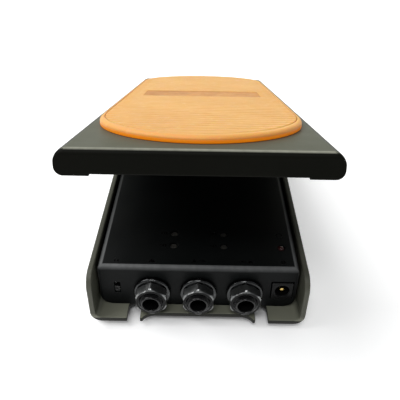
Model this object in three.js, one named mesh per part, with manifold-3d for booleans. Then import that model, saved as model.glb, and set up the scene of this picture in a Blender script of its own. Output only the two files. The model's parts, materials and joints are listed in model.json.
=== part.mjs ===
// A volume pedal for a musical instrument: a folded steel base that carries a control box, and a
// treadle that rocks on an axle and turns a potentiometer through a sector gear.
// Millimetres, +Z up. The toe end, with the sockets, is at -Y. The origin is on the floor, straight
// below the axle. The treadle is drawn flat about the axle and tilted by its group.

import * as THREE from 'three';
import { mergeVertices } from 'three/addons/utils/BufferGeometryUtils.js';
import Module from 'manifold-3d';

const wasm = await Module();
wasm.setup();

// ---------------------------------------------------------------- driving dimensions

const DEGREE = Math.PI / 180;
const GAP = 0.3;                 // clearance between neighbouring pieces
const FACET = 15 * DEGREE;       // largest facet on a bend

// base
const BASE = { width: 94, front: -118.7, rear: 123.9, sheet: 2.3, bend: 5, bottom: 3 };
const FLOOR = BASE.bottom + BASE.sheet;             // upper face of the base sheet
const WALL_INSIDE = BASE.width / 2 - BASE.sheet;
const WALL_FRONT_HEIGHT = 27.6;                     // wall top at the toe end
const RISE = 4.4 * DEGREE;                          // slope of the wall tops and of the box top
const EAR_RADIUS = 8;
const WALL_CORNER = 7;                              // rounding of the wall tops at both ends
const WALL_PEAK = 20;                               // and where the two straight tops meet
const NOTCH = { inside: 24.7, outside: 31, depth: 10.3 };    // beside each toe foot
const TONGUE = { tip: 24.1, curve: 6, setBack: 3.4 };       // front edge between the notches
const FOOT = { radius: 5.5, height: 2.9, x: 36.5, toe: -101, heel: 110 };
const SCREW = { head: 2.7, headHeight: 1.7, shank: 1.4, clearance: 1.7, boxLength: 4.6,
  bracketLength: 4.4 };

// axle and treadle
const AXLE = { radius: 4, z: 38, headRadius: 6.5, headThickness: 2.2 };
const TILT = 13.85 * DEGREE;                        // toe end up, at rest on the heel bumpers
const PLATE = { width: 100, toe: -130.4, heel: 119.6, top: 21.3, sheet: 2, edge: 5, flange: 10 };
const PLATE_BOTTOM = PLATE.top - PLATE.sheet;
const LIP = { width: 12, edge: 3.5 };               // flange edge turned inwards
const LIP_BOTTOM = PLATE.top - PLATE.flange;
const END_FLANGE = { half: 45.2, bend: 2.2, rise: 0.8, lap: 6 };
const BUMPER = { thickness: 3, length: 16, inside: 42, outside: 46.4, toe: -100, heel: 100 };
const PAD = { radius: 43.2, toe: -121.8, heel: 113.6, thickness: 3, bevel: 1.5, bevelWidth: 2.4 };
const BRACKET = { half: 38, sheet: 2, web: 17, length: 32, earRadius: 9 };
const BUSH = { inside: 4.25, outside: 5.5, flange: 7, flangeThickness: 1 };
const RIVET = { radius: 1.6, head: 3, x: 28, y: 10 };

// control box
const BOX = { width: 87.5, front: -110.2, rear: -22, frontHeight: 27.3, sheet: 1.5, edge: 2.6,
  frontCorner: 6, lowerEdge: 3.2 };
const BOX_BOTTOM = FLOOR + 0.2;
const TAB = { length: 12, reach: 9, y: -56 };

const SIDES = [{ name: 'left', side: -1 }, { name: 'right', side: 1 }];
const ENDS = [{ name: 'toe', end: -1 }, { name: 'heel', end: 1 }];
const CORNERS = ENDS.flatMap((end) => SIDES.map((side) => ({
  name: `${end.name}_${side.name}`, row: end.name, end: end.end, side: side.side,
})));

// sockets, switch, trimmers and lamp, by the axis that passes through the box wall
const JACKS = [
  { name: 'left', x: -20.2 },
  { name: 'middle', x: 0.2 },
  { name: 'right', x: 20.6 },
];
const JACK = { z: 13.8, bore: 3.4, mouth: 3.8, bush: 5.2, front: -119.1, back: -86, side: 5.9,
  height: 12 };
const WASHER = { inside: 5.4, outside: 8.25, thickness: 2.1 };
const NUT = { corner: 7.6, thickness: 5, turned: 1.2 };
const POWER = { x: 37.1, z: 15.2, side: 9.4, bore: 3, pin: 1, back: -96, proud: 0.5 };
const SWITCH = { x: -35.6, slotBottom: 12.4, slotTop: 18.4, slotWidth: 2.6, travel: 2.4 };
const TRIMMERS = [
  { name: 'toe_left', x: -11.3, y: -96.2 },
  { name: 'toe_right', x: 11.3, y: -96.2 },
  { name: 'heel_left', x: -11.3, y: -88.2 },
  { name: 'heel_right', x: 11.3, y: -88.2 },
];
const TRIMMER = { hole: 1.9, rotor: 1.5, side: 6.4, bodyTop: 25.4 };
const LAMP = { x: 37, y: -96.8, radius: 1.5, hole: 1.75 };
const BOARD = { half: 40.5, toe: -107.5, heel: -32, corner: 3, bottom: 20.5, thickness: 1.6 };
const CHIP = { half: 6, toe: -66, heel: -58, height: 2 };
const CAPACITOR = { radius: 3.2, length: 9, places: [[-20, -50], [-8, -46], [8, -46]] };

// sector gear, pinion and potentiometer
const MODULE = 1;
const PRESSURE_ANGLE = 20 * DEGREE;
const BACKLASH = 0.35;                               // taken off the thickness of every tooth
const SECTOR = { teeth: 48, x: 12, thickness: 4, hub: 8, reach: [-82, -38] };
const PINION = { teeth: 12, x: 11.4, thickness: 5.2 };
const POT = { y: 20, radius: 8, face: 22.2, depth: 11, shaft: 3, bush: 3.5 };
const GEAR_DISTANCE = (MODULE * (SECTOR.teeth + PINION.teeth)) / 2;
POT.z = AXLE.z - Math.sqrt(GEAR_DISTANCE ** 2 - POT.y ** 2);
const MESH_ANGLE = Math.atan2(POT.z - AXLE.z, POT.y);
const POT_BRACKET = { x: 20.5, sheet: 1.5, toe: 5, heel: 35, reach: 36, shoulder: 9,
  screw: { x: 30, toe: 9, heel: 31 } };
const CABLE = { x: 25, width: 6, thickness: 1.1, clipY: -13, ear: 3.4, wall: 0.9 };

// ---------------------------------------------------------------- materials

const paint = (color, roughness, metalness) =>
  new THREE.MeshStandardMaterial({ color, roughness, metalness });

const LOOKS = {
  olivePaint: () => paint(0x6d6e61, 0.55, 0.25),
  blackPaint: () => paint(0x1b2023, 0.5, 0.25),
  amberRubber: () => paint(0xf3a860, 0.6, 0),
  blackRubber: () => paint(0x17181a, 0.85, 0),
  zincSteel: () => paint(0xb9bcc0, 0.35, 0.9),
  blackSteel: () => paint(0x24272a, 0.32, 0.8),
  brass: () => paint(0xc2a04e, 0.35, 0.9),
  blackPlastic: () => paint(0x131416, 0.4, 0),
  whiteNylon: () => paint(0xe9e6dc, 0.5, 0),
  greenBoard: () => paint(0x1e5a36, 0.45, 0),
  blueTrimmer: () => paint(0x2c5aa8, 0.45, 0),
  redLens: () => paint(0xb5231c, 0.2, 0),
  greyCable: () => paint(0x777a7d, 0.6, 0),
};

// ---------------------------------------------------------------- outlines

const ordered = (a, b) => [Math.min(a, b), Math.max(a, b)];

function arc(x, y, radius, from, to, step = FACET) {
  const count = Math.max(2, Math.round(Math.abs(to - from) / step));
  return Array.from({ length: count + 1 }, (_, i) => {
    const angle = from + ((to - from) * i) / count;
    return new THREE.Vector2(x + radius * Math.cos(angle), y + radius * Math.sin(angle));
  });
}

function circle(x, y, radius, sides = 24) {
  return arc(x, y, radius, 0, 2 * Math.PI, (2 * Math.PI) / sides).slice(0, sides);
}

// A polygon whose corners are [x, y] or [x, y, radius].
function rounded(corners) {
  const points = corners.map(([x, y]) => new THREE.Vector2(x, y));
  return corners.flatMap(([, , radius = 0], i) => {
    const corner = points[i];
    if (radius === 0) return [corner];
    const before = points.at(i - 1).clone().sub(corner).normalize();
    const after = points[(i + 1) % points.length].clone().sub(corner).normalize();
    const half = Math.acos(before.dot(after)) / 2;
    const inwards = before.clone().add(after).normalize();
    const centre = inwards.multiplyScalar(radius / Math.sin(half)).add(corner);
    const setback = radius / Math.tan(half);
    const start = before.clone().multiplyScalar(setback).add(corner).sub(centre).angle();
    const end = after.clone().multiplyScalar(setback).add(corner).sub(centre).angle();
    const turn = Math.atan2(Math.sin(end - start), Math.cos(end - start));
    return arc(centre.x, centre.y, radius, start, start + turn);
  });
}

const rectangle = (x0, x1, y0, y1, radius = 0) =>
  rounded([[x0, y0, radius], [x1, y0, radius], [x1, y1, radius], [x0, y1, radius]]);

// ---------------------------------------------------------------- solids

const AXES = {
  X: new THREE.Matrix4().makeBasis(
    new THREE.Vector3(0, 1, 0), new THREE.Vector3(0, 0, 1), new THREE.Vector3(1, 0, 0)),
  Y: new THREE.Matrix4().makeBasis(
    new THREE.Vector3(1, 0, 0), new THREE.Vector3(0, 0, 1), new THREE.Vector3(0, -1, 0)),
  Z: new THREE.Matrix4(),
};

// An outline pushed along an axis: (y, z) along X, (x, z) along Y or (x, y) along Z.
function prism(axis, from, to, outline, holes = []) {
  const shape = new THREE.Shape(outline);
  shape.holes = holes.map((hole) => new THREE.Path(hole));
  const geometry = new THREE.ExtrudeGeometry(shape, { depth: to - from, bevelEnabled: false });
  geometry.translate(0, 0, axis === 'Y' ? -to : from);
  return solid(geometry.applyMatrix4(AXES[axis]));
}

const block = (x0, x1, y0, y1, z0, z1) => prism('Z', z0, z1, rectangle(x0, x1, y0, y1));

const rod = (axis, from, to, a, b, radius, sides = 24) =>
  prism(axis, from, to, circle(a, b, radius, sides));

const ring = (axis, from, to, a, b, inside, outside, sides = 24) =>
  prism(axis, from, to, circle(a, b, outside, sides), [circle(a, b, inside, sides)]);

// A turned solid about a line parallel to Y, from [radius, y] pairs that start and end on the line.
function turnedY(profile, x, z, sides = 24) {
  const points = profile.map(([radius, y]) => new THREE.Vector2(radius, y));
  return solid(new THREE.LatheGeometry(points, sides).translate(x, 0, z));
}

function turnedZ(profile, x, y, sides = 20) {
  const points = profile.map(([radius, z]) => new THREE.Vector2(radius, z));
  return solid(new THREE.LatheGeometry(points, sides).rotateX(Math.PI / 2).translate(x, y, 0));
}

function solid(geometry) {
  geometry.deleteAttribute('normal');
  geometry.deleteAttribute('uv');
  const merged = mergeVertices(geometry.index ? geometry.toNonIndexed() : geometry, 1e-4);
  return new wasm.Manifold(new wasm.Mesh({
    numProp: 3,
    vertProperties: merged.attributes.position.array,
    triVerts: merged.index.array instanceof Uint32Array ? merged.index.array
      : Uint32Array.from(merged.index.array),
  }));
}

const join = (...solids) => solids.reduce((sum, next) => sum.add(next));
const cut = (body, ...tools) => tools.reduce((rest, tool) => rest.subtract(tool), body);

function named(name, body, look) {
  const { numProp, vertProperties, triVerts } = body.getMesh();
  const geometry = new THREE.BufferGeometry();
  const vertices = new THREE.InterleavedBuffer(vertProperties, numProp);
  geometry.setAttribute('position', new THREE.InterleavedBufferAttribute(vertices, 3, 0));
  geometry.setIndex(new THREE.BufferAttribute(triVerts, 1));
  const mesh = new THREE.Mesh(geometry.toNonIndexed(), LOOKS[look]());
  mesh.geometry.computeVertexNormals();
  mesh.name = name;
  return mesh;
}

// ---------------------------------------------------------------- base

const wallTopAt = (y) => WALL_FRONT_HEIGHT + (y - BASE.front) * Math.tan(RISE);

// Height of a line in the resting treadle, a distance above the axle.
const treadleLineAt = (y, above) => AXLE.z + (above - y * Math.sin(TILT)) / Math.cos(TILT);

function channelSection() {
  const half = BASE.width / 2;
  const top = AXLE.z + EAR_RADIUS;
  return rounded([
    [-half, top], [-half, BASE.bottom, BASE.bend], [half, BASE.bottom, BASE.bend], [half, top],
    [WALL_INSIDE, top], [WALL_INSIDE, FLOOR, BASE.bend - BASE.sheet],
    [-WALL_INSIDE, FLOOR, BASE.bend - BASE.sheet], [-WALL_INSIDE, top],
  ]);
}

// Side view of the walls: two straight tops that meet behind the axle. The rear one is parallel to
// the resting treadle, a bumper's thickness below its lips.
function wallOutline() {
  const restingGap = BUMPER.thickness + GAP;
  const above = LIP_BOTTOM - restingGap;
  const fall = Math.tan(TILT);
  const peak = (treadleLineAt(0, above) - wallTopAt(0)) / (Math.tan(RISE) + fall);
  return rounded([
    [BASE.front, 0], [BASE.rear, 0],
    [BASE.rear, treadleLineAt(BASE.rear, above), WALL_CORNER], [peak, wallTopAt(peak), WALL_PEAK],
    [BASE.front, WALL_FRONT_HEIGHT, WALL_CORNER],
  ]);
}

// Half of what is cut from the front of the base sheet: a round-ended notch beside the toe foot, and
// the set-back edge of the middle tongue, which curves forward to a point.
function frontCut(side) {
  const before = BASE.front - 5;
  const radius = (NOTCH.outside - NOTCH.inside) / 2;
  const slot = rectangle(
    side * NOTCH.inside, side * NOTCH.outside, before, BASE.front + NOTCH.depth, radius);
  const { tip, curve, setBack } = TONGUE;
  const edge = [
    new THREE.Vector2(0, before), new THREE.Vector2(tip, before), new THREE.Vector2(tip, BASE.front),
    ...arc(tip - curve, BASE.front + setBack - curve, curve, 25 * DEGREE, 90 * DEGREE),
    new THREE.Vector2(0, BASE.front + setBack),
  ].map((point) => new THREE.Vector2(side * point.x, point.y));
  return join(prism('Z', 0, FLOOR + 2, slot), prism('Z', 0, FLOOR + 2, edge));
}

const boxScrewX = BOX.width / 2 - BOX.sheet - TAB.reach / 2;
const boxScrews = SIDES.map(({ name, side }) => ({ name, x: side * boxScrewX, y: TAB.y }));
const potScrews = ENDS.map(({ name }) => ({
  name, x: POT_BRACKET.screw.x, y: POT_BRACKET.screw[name],
}));

function baseChassis() {
  const channel = prism('Y', BASE.front, BASE.rear, channelSection());
  const ends = BASE.width / 2 + 1;
  const walls = prism('X', -ends, ends, wallOutline());
  const ears = join(
    rod('X', -ends, ends, 0, AXLE.z, EAR_RADIUS, 32),
    prism('X', -ends, ends, rectangle(-EAR_RADIUS, EAR_RADIUS, 0, AXLE.z - 1)),
  );
  return cut(
    channel.intersect(join(walls, ears)),
    rod('X', -ends, ends, 0, AXLE.z, AXLE.radius + 0.2, 24),
    frontCut(-1), frontCut(1), ...boxScrews.map(screwHole), ...potScrews.map(screwHole),
  );
}

function rubberFoot({ row, side }) {
  const { radius, height } = FOOT;
  const profile = [[0, 0], [radius - 1, 0], [radius, 0.8], [radius, height], [0, height]];
  return turnedZ(profile, side * FOOT.x, FOOT[row]);
}

function axleRod() {
  const half = BASE.width / 2 + 0.2;
  return join(
    rod('X', -half - 1, half + AXLE.headThickness, 0, AXLE.z, AXLE.radius, 24),
    rod('X', -half - AXLE.headThickness, -half, 0, AXLE.z, AXLE.headRadius, 24),
  );
}

function axleCap() {
  const start = BASE.width / 2 + 0.2;
  return ring('X', start, start + 1.4, 0, AXLE.z, AXLE.radius + 0.2, AXLE.headRadius);
}

// A screw put in from below the base, its head under the sheet.
function baseScrew({ x, y }, length) {
  const headTop = BASE.bottom - 0.1;
  return join(
    rod('Z', headTop - SCREW.headHeight, headTop, x, y, SCREW.head, 16),
    rod('Z', headTop - 0.2, headTop + length, x, y, SCREW.shank, 12),
  );
}

const screwHole = ({ x, y }) => rod('Z', 0, 12, x, y, SCREW.clearance, 12);

// ---------------------------------------------------------------- control box

// The box outline less a wall thickness, used for its outside and for its hollow. A sloped slab, far
// deeper and longer than the box, gives the top its rounded side edges.
function boxForm(wall) {
  const half = BOX.width / 2 - wall;
  const edge = BOX.edge - wall;
  const front = BOX.front + wall;
  const rear = BOX.rear - wall;
  const top = (y) => BOX.frontHeight + (y - BOX.front) * Math.tan(RISE) - wall / Math.cos(RISE);
  const bottom = wall > 0 ? 0 : BOX_BOTTOM;
  const side = rounded([
    [front, bottom], [rear, bottom], [rear, top(rear), edge], [front, top(front), edge],
  ]);
  const middle = (front + rear) / 2;
  const deep = -60;
  const spare = 9;
  const section = rounded([[-half, deep], [half, deep], [half, 0, edge], [-half, 0, edge]]);
  const slab = prism('Y', front - middle - spare, rear - middle + spare, section);
  const sloped = new THREE.Matrix4().makeRotationX(RISE).setPosition(0, middle, top(middle));
  return prism('X', -half, half, side).intersect(moved(slab, sloped));
}

// The same solid, carried by a matrix.
function moved(body, matrix) {
  const { numProp, vertProperties, triVerts } = body.getMesh();
  const geometry = new THREE.BufferGeometry();
  const vertices = new THREE.InterleavedBuffer(vertProperties, numProp);
  geometry.setAttribute('position', new THREE.InterleavedBufferAttribute(vertices, 3, 0));
  geometry.setIndex(new THREE.BufferAttribute(triVerts, 1));
  return solid(geometry.toNonIndexed().applyMatrix4(matrix));
}

// What a rounded lower edge takes off one side of the box.
function lowerEdgeCut(side, radius, from, to) {
  const centre = BOX.width / 2 - radius;
  return cut(
    prism('Y', from, to, rectangle(
      ...ordered(side * centre, side * (centre + radius + 1)), 0, BOX_BOTTOM + radius)),
    rod('Y', from, to, side * centre, BOX_BOTTOM + radius, radius, 32),
  );
}

function controlBox() {
  const through = [BOX.front - 2, BOX.front + 3];
  const half = BOX.width / 2;
  const lowerEdges = SIDES.flatMap(({ side }) => [
    lowerEdgeCut(side, BOX.frontCorner, ...through),
    lowerEdgeCut(side, BOX.lowerEdge, BOX.front - 2, BOX.rear + 2),
  ]);
  const tabs = SIDES.map(({ side }) => block(
    ...ordered(side * (half - BOX.sheet - TAB.reach), side * (half - 0.2)),
    TAB.y - TAB.length / 2, TAB.y + TAB.length / 2, BOX_BOTTOM, BOX_BOTTOM + BOX.sheet,
  ));
  const slot = rectangle(SWITCH.x - SWITCH.slotWidth / 2, SWITCH.x + SWITCH.slotWidth / 2,
    SWITCH.slotBottom, SWITCH.slotTop);
  const powerHalf = POWER.side / 2 + 0.3;
  const powerHole = rectangle(POWER.x - powerHalf, POWER.x + powerHalf,
    POWER.z - powerHalf, POWER.z + powerHalf);
  return cut(
    join(cut(boxForm(0), boxForm(BOX.sheet)), ...tabs),
    ...lowerEdges,
    ...JACKS.map(({ x }) => rod('Y', ...through, x, JACK.z, JACK.bush + 0.2)),
    prism('Y', ...through, slot),
    prism('Y', ...through, powerHole),
    ...TRIMMERS.map(({ x, y }) => rod('Z', 24, 34, x, y, TRIMMER.hole, 20)),
    rod('Z', 24, 34, LAMP.x, LAMP.y, LAMP.hole, 20),
    ...boxScrews.map(screwHole),
    block(CABLE.x - 2, CABLE.x + CABLE.width + 2, BOX.rear - 4, BOX.rear + 2, 0, BOX_BOTTOM + 4),
  );
}

// The board, with its chip and capacitors soldered on.
function circuitBoard() {
  const { half, toe, heel, corner, bottom, thickness } = BOARD;
  const top = bottom + thickness;
  const sheet = prism('Z', bottom, top, rectangle(-half, half, toe, heel, corner));
  const chip = block(-CHIP.half, CHIP.half, CHIP.toe, CHIP.heel, top - 0.1, top + CHIP.height);
  const capacitors = CAPACITOR.places.map(([x, y]) =>
    rod('Z', bottom - CAPACITOR.length, bottom + 0.2, x, y, CAPACITOR.radius, 16));
  return join(sheet, chip, ...capacitors);
}

// ---------------------------------------------------------------- sockets and switch

function jackBody({ x }) {
  const inner = BOX.front + BOX.sheet + GAP;
  const halfHeight = JACK.height / 2;
  const casing = block(x - JACK.side, x + JACK.side, inner, JACK.back,
    JACK.z - halfHeight, JACK.z + halfHeight);
  const lip = 0.8;
  const bush = turnedY([
    [0, JACK.front], [JACK.bush - lip, JACK.front], [JACK.bush, JACK.front + lip],
    [JACK.bush, inner + 1], [0, inner + 1],
  ], x, JACK.z);
  const bore = turnedY([
    [0, JACK.front - 1], [JACK.mouth, JACK.front - 1], [JACK.mouth, JACK.front + 0.2],
    [JACK.bore, JACK.front + 0.9], [JACK.bore, JACK.back - 2], [0, JACK.back - 2],
  ], x, JACK.z);
  return cut(join(casing, bush), bore);
}

function jackWasher({ x }) {
  const face = BOX.front - 0.15;
  return ring('Y', face - WASHER.thickness, face, x, JACK.z, WASHER.inside, WASHER.outside, 32);
}

// A hexagon nut with a corner upwards, its outer corners turned off by a cone.
function jackNut({ x }) {
  const back = BOX.front - 0.15 - WASHER.thickness - 0.1;
  const front = back - NUT.thickness;
  const corners = Array.from({ length: 6 }, (_, i) => {
    const angle = 90 * DEGREE + i * 60 * DEGREE;
    return new THREE.Vector2(x + NUT.corner * Math.cos(angle), JACK.z + NUT.corner * Math.sin(angle));
  });
  const cone = turnedY([
    [0, front], [NUT.corner - NUT.turned, front], [NUT.corner + 0.1, front + 0.9],
    [NUT.corner + 0.1, back], [0, back],
  ], x, JACK.z, 30);
  const hole = rod('Y', front - 1, back + 1, x, JACK.z, JACK.bush + 0.2);
  return cut(prism('Y', front, back, corners).intersect(cone), hole);
}

function powerSocket() {
  const half = POWER.side / 2;
  const front = BOX.front - POWER.proud;
  const body = block(
    POWER.x - half, POWER.x + half, front, POWER.back, POWER.z - half, POWER.z + half);
  const bore = rod('Y', front - 1, POWER.back - 3, POWER.x, POWER.z, POWER.bore);
  return cut(body, bore);
}

function powerPin() {
  const front = BOX.front + 0.4;
  const tip = 0.4;
  return turnedY([
    [0, front], [POWER.pin - tip, front], [POWER.pin, front + tip], [POWER.pin, POWER.back - 3.3],
    [0, POWER.back - 3.3],
  ], POWER.x, POWER.z, 16);
}

function switchBody() {
  const inner = BOX.front + BOX.sheet + GAP;
  const middle = (SWITCH.slotBottom + SWITCH.slotTop) / 2;
  return cut(
    block(SWITCH.x - 3, SWITCH.x + 3, inner, inner + 6, middle - 5, middle + 4.9),
    block(SWITCH.x - 1.4, SWITCH.x + 1.4, inner - 1, inner + 2.4,
      SWITCH.slotBottom - 0.4, SWITCH.slotTop + 0.4),
  );
}

function switchSlider() {
  const inner = BOX.front + BOX.sheet + GAP;
  const bottom = SWITCH.slotBottom + 0.4;
  const height = SWITCH.slotTop - SWITCH.slotBottom - SWITCH.travel - 0.8;
  const half = SWITCH.slotWidth / 2 - 0.35;
  return block(SWITCH.x - half, SWITCH.x + half, BOX.front + 0.2, inner + 2, bottom, bottom + height);
}

// ---------------------------------------------------------------- trimmers and lamp

function trimmerBody({ x, y }) {
  const half = TRIMMER.side / 2;
  const bottom = BOARD.bottom + BOARD.thickness + 0.2;
  return block(x - half, x + half, y - half, y + half, bottom, TRIMMER.bodyTop);
}

function trimmerRotor({ x, y }) {
  const top = BOX.frontHeight + (y - BOX.front) * Math.tan(RISE) - 0.4;
  const slot = block(x - TRIMMER.rotor, x + TRIMMER.rotor, y - 0.3, y + 0.3, top - 0.8, top + 1);
  return cut(rod('Z', TRIMMER.bodyTop + 0.2, top, x, y, TRIMMER.rotor, 20), slot);
}

function statusLamp() {
  const bottom = BOARD.bottom + BOARD.thickness + 0.2;
  const shoulder = BOX.frontHeight + (LAMP.y - BOX.front) * Math.tan(RISE) - 0.6;
  const dome = arc(0, 0, LAMP.radius, 0, 90 * DEGREE).slice(0, -1)
    .map((point) => [point.x, shoulder + point.y * 0.8]);
  const profile = [[0, bottom], [LAMP.radius, bottom], ...dome, [0, shoulder + LAMP.radius * 0.8]];
  return turnedZ(profile, LAMP.x, LAMP.y);
}

// ---------------------------------------------------------------- gears and potentiometer

// Half the angle of a tooth at a radius, for an involute tooth thinned by the backlash.
function halfToothAngle(teeth, radius) {
  const pitch = (MODULE * teeth) / 2;
  const base = pitch * Math.cos(PRESSURE_ANGLE);
  const involute = (angle) => Math.tan(angle) - angle;
  const atPitch = Math.PI / (2 * teeth) - BACKLASH / (2 * pitch);
  const pressure = Math.acos(Math.min(1, base / Math.max(radius, base)));
  return atPitch + involute(PRESSURE_ANGLE) - involute(pressure);
}

// The edge of one tooth about an angle, from root to tip and back to root.
function toothEdge(teeth, middle, centre) {
  const pitch = (MODULE * teeth) / 2;
  const root = pitch - 1.25 * MODULE;
  const tip = pitch + 0.9 * MODULE;
  const radii = [0, 0.3, 0.55, 0.8, 1].map((part) => root + (tip - root) * part);
  const flank = (side, list) => list.map((radius) => {
    const angle = middle + side * halfToothAngle(teeth, radius);
    return new THREE.Vector2(centre.x + radius * Math.cos(angle), centre.y + radius * Math.sin(angle));
  });
  return [...flank(-1, radii), ...flank(1, [...radii].reverse())];
}

// Drawn about the axle, in the tilted treadle's own frame.
function sectorGear() {
  const centre = new THREE.Vector2(0, 0);
  const mesh = MESH_ANGLE + TILT;
  const step = (2 * Math.PI) / SECTOR.teeth;
  const [low, high] = SECTOR.reach.map((angle) => Math.round((angle * DEGREE - MESH_ANGLE) / step));
  const edge = [];
  for (let tooth = low; tooth <= high; tooth += 1) {
    edge.push(...toothEdge(SECTOR.teeth, mesh + tooth * step, centre));
  }
  const fan = [new THREE.Vector2(-5, 3), ...edge, new THREE.Vector2(5, 3)];
  const { x, thickness, hub } = SECTOR;
  const neck = rectangle(-hub, hub, 0, BRACKET.web - GAP);
  return cut(
    join(
      prism('X', x, x + thickness, fan), rod('X', x, x + thickness, 0, 0, hub, 32),
      prism('X', x, x + thickness, neck),
    ),
    rod('X', x - 1, x + thickness + 1, 0, 0, AXLE.radius + 0.3),
    ...gearRivets.map(({ y, z }) => rod('X', x - 1, x + thickness + 1, y, z, 1.6, 12)),
  );
}

const gearRivets = ENDS.map(({ name, end }) => ({ name, y: end * 4.6, z: 11.6 }));

function gearRivet({ y, z }) {
  const start = SECTOR.x - 1.2;
  const end = SECTOR.x + SECTOR.thickness + GAP + BRACKET.sheet + 1.2;
  return join(
    rod('X', start, end, y, z, 1.4, 12),
    rod('X', start, start + 1, y, z, 2.5, 16),
    rod('X', end - 1, end, y, z, 2.5, 16),
  );
}

function drivePinion() {
  const centre = new THREE.Vector2(POT.y, POT.z);
  const step = (2 * Math.PI) / PINION.teeth;
  const edge = Array.from({ length: PINION.teeth }, (_, tooth) =>
    toothEdge(PINION.teeth, MESH_ANGLE + Math.PI + (tooth + 0.5) * step, centre)).flat();
  return cut(
    prism('X', PINION.x, PINION.x + PINION.thickness, edge),
    rod('X', PINION.x - 1, PINION.x + PINION.thickness + 1, POT.y, POT.z, POT.shaft + 0.15, 20),
  );
}

function potShaft() {
  return rod('X', PINION.x - 0.8, POT.face - 0.4, POT.y, POT.z, POT.shaft, 20);
}

function potBody() {
  const bushEnd = POT_BRACKET.x - 3.2;
  return cut(
    join(
      rod('X', POT.face, POT.face + POT.depth, POT.y, POT.z, POT.radius, 28),
      rod('X', bushEnd, POT.face + 1, POT.y, POT.z, POT.bush, 20),
      block(POT.face + 2, POT.face + 9, POT.y - 10.6, POT.y - 6, POT.z - 1, POT.z + 1),
    ),
    rod('X', bushEnd - 1, POT.face - 0.1, POT.y, POT.z, POT.shaft + 0.15, 20),
  );
}

function potNut() {
  const start = POT_BRACKET.x - 0.2;
  return cut(
    prism('X', start - 2, start, circle(POT.y, POT.z, 6, 6)),
    rod('X', start - 3, start + 1, POT.y, POT.z, POT.bush + 0.15, 20),
  );
}

function potBracket() {
  const { x, sheet, toe, heel, reach, shoulder } = POT_BRACKET;
  const bottom = FLOOR + 0.1;
  const top = POT.z + POT.radius + sheet;
  const standing = rounded([
    [toe, bottom], [heel, bottom], [heel, 12, 3], [POT.y + shoulder, top, 5],
    [POT.y - shoulder, top, 5], [toe, 12, 3],
  ]);
  const footPlate = block(x, reach, toe, heel, bottom, bottom + sheet);
  return cut(
    join(prism('X', x, x + sheet, standing), footPlate),
    rod('X', x - 1, x + sheet + 1, POT.y, POT.z, POT.bush + 0.2, 20),
    ...potScrews.map(screwHole),
  );
}

// The flat cable from the board, down to the base sheet and along it to the potentiometer.
function potCable() {
  const half = CABLE.thickness / 2;
  const low = FLOOR + 0.3 + half;
  const route = new THREE.CatmullRomCurve3([
    [-56, BOARD.bottom - 0.6], [-56, 13], [-51, low + 0.8], [-42, low], [-20, low], [-4, low],
    [1.5, low + 1.5], [3.2, 11], [5.2, POT.z - 0.2], [8.8, POT.z],
  ].map(([y, z]) => new THREE.Vector3(CABLE.x + CABLE.width / 2, y, z)), false, 'catmullrom', 0.3);
  const steps = 40;
  const points = route.getPoints(steps);
  const side = (sign) => points.map((point, i) => {
    const tangent = route.getTangent(i / steps);
    return new THREE.Vector2(point.y - sign * half * tangent.z, point.z + sign * half * tangent.y);
  });
  return prism('X', CABLE.x, CABLE.x + CABLE.width, [...side(-1), ...side(1).reverse()]);
}

function cableClip() {
  const { clipY: y, ear, wall, thickness } = CABLE;
  const low = CABLE.x - 0.5;
  const high = CABLE.x + CABLE.width + 0.5;
  const bottom = FLOOR + 0.1;
  const top = bottom + thickness + 0.8;
  return cut(
    join(
      block(low - ear, high + ear, y - 2, y + 2, bottom, bottom + wall),
      block(low - wall, high + wall, y - 2, y + 2, bottom, top + wall),
    ),
    block(low, high, y - 3, y + 3, 0, top),
  );
}

// ---------------------------------------------------------------- treadle

// Section of the plate: a channel whose side flanges end in lips turned inwards.
function plateSection() {
  const half = PLATE.width / 2;
  const inner = half - PLATE.sheet;
  const edge = PLATE.edge - PLATE.sheet;
  const lipEdge = LIP.edge - PLATE.sheet;
  const lipTop = LIP_BOTTOM + PLATE.sheet;
  const lipEnd = half - LIP.width;
  return rounded([
    [lipEnd, LIP_BOTTOM, 0.9], [half, LIP_BOTTOM, LIP.edge], [half, PLATE.top, PLATE.edge],
    [-half, PLATE.top, PLATE.edge], [-half, LIP_BOTTOM, LIP.edge], [-lipEnd, LIP_BOTTOM, 0.9],
    [-lipEnd, lipTop, 0.9], [-inner, lipTop, lipEdge], [-inner, PLATE_BOTTOM, edge],
    [inner, PLATE_BOTTOM, edge], [inner, lipTop, lipEdge], [lipEnd, lipTop, 0.9],
  ]);
}

// The end flange, bent down between the side flanges.
function endFlange(end, inwards) {
  const { bend, lap } = END_FLANGE;
  const depth = LIP_BOTTOM + END_FLANGE.rise;
  const outline = rounded([
    [end, PLATE.top, bend], [end, depth, 0.7], [end + inwards * PLATE.sheet, depth, 0.7],
    [end + inwards * PLATE.sheet, PLATE_BOTTOM, 0], [end + inwards * lap, PLATE_BOTTOM, 0],
    [end + inwards * lap, PLATE.top, 0],
  ]);
  return prism('X', -END_FLANGE.half, END_FLANGE.half, outline);
}

function treadlePlate() {
  const { half, bend } = END_FLANGE;
  const low = PLATE_BOTTOM - 1;
  const high = PLATE.top + 1;
  const bendAway = (end, inwards) =>
    block(-half, half, ...ordered(end - inwards, end + inwards * bend), low, high);
  return join(
    cut(
      prism('Y', PLATE.toe, PLATE.heel, plateSection()),
      bendAway(PLATE.toe, 1), bendAway(PLATE.heel, -1),
      ...plateRivets.map(({ x, y }) => rod('Z', low, high, x, y, RIVET.head + 0.2, 20)),
    ),
    endFlange(PLATE.toe, 1), endFlange(PLATE.heel, -1),
  );
}

const plateRivets = CORNERS.map(({ name, end, side }) => ({
  name, x: side * RIVET.x, y: end * RIVET.y,
}));

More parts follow.
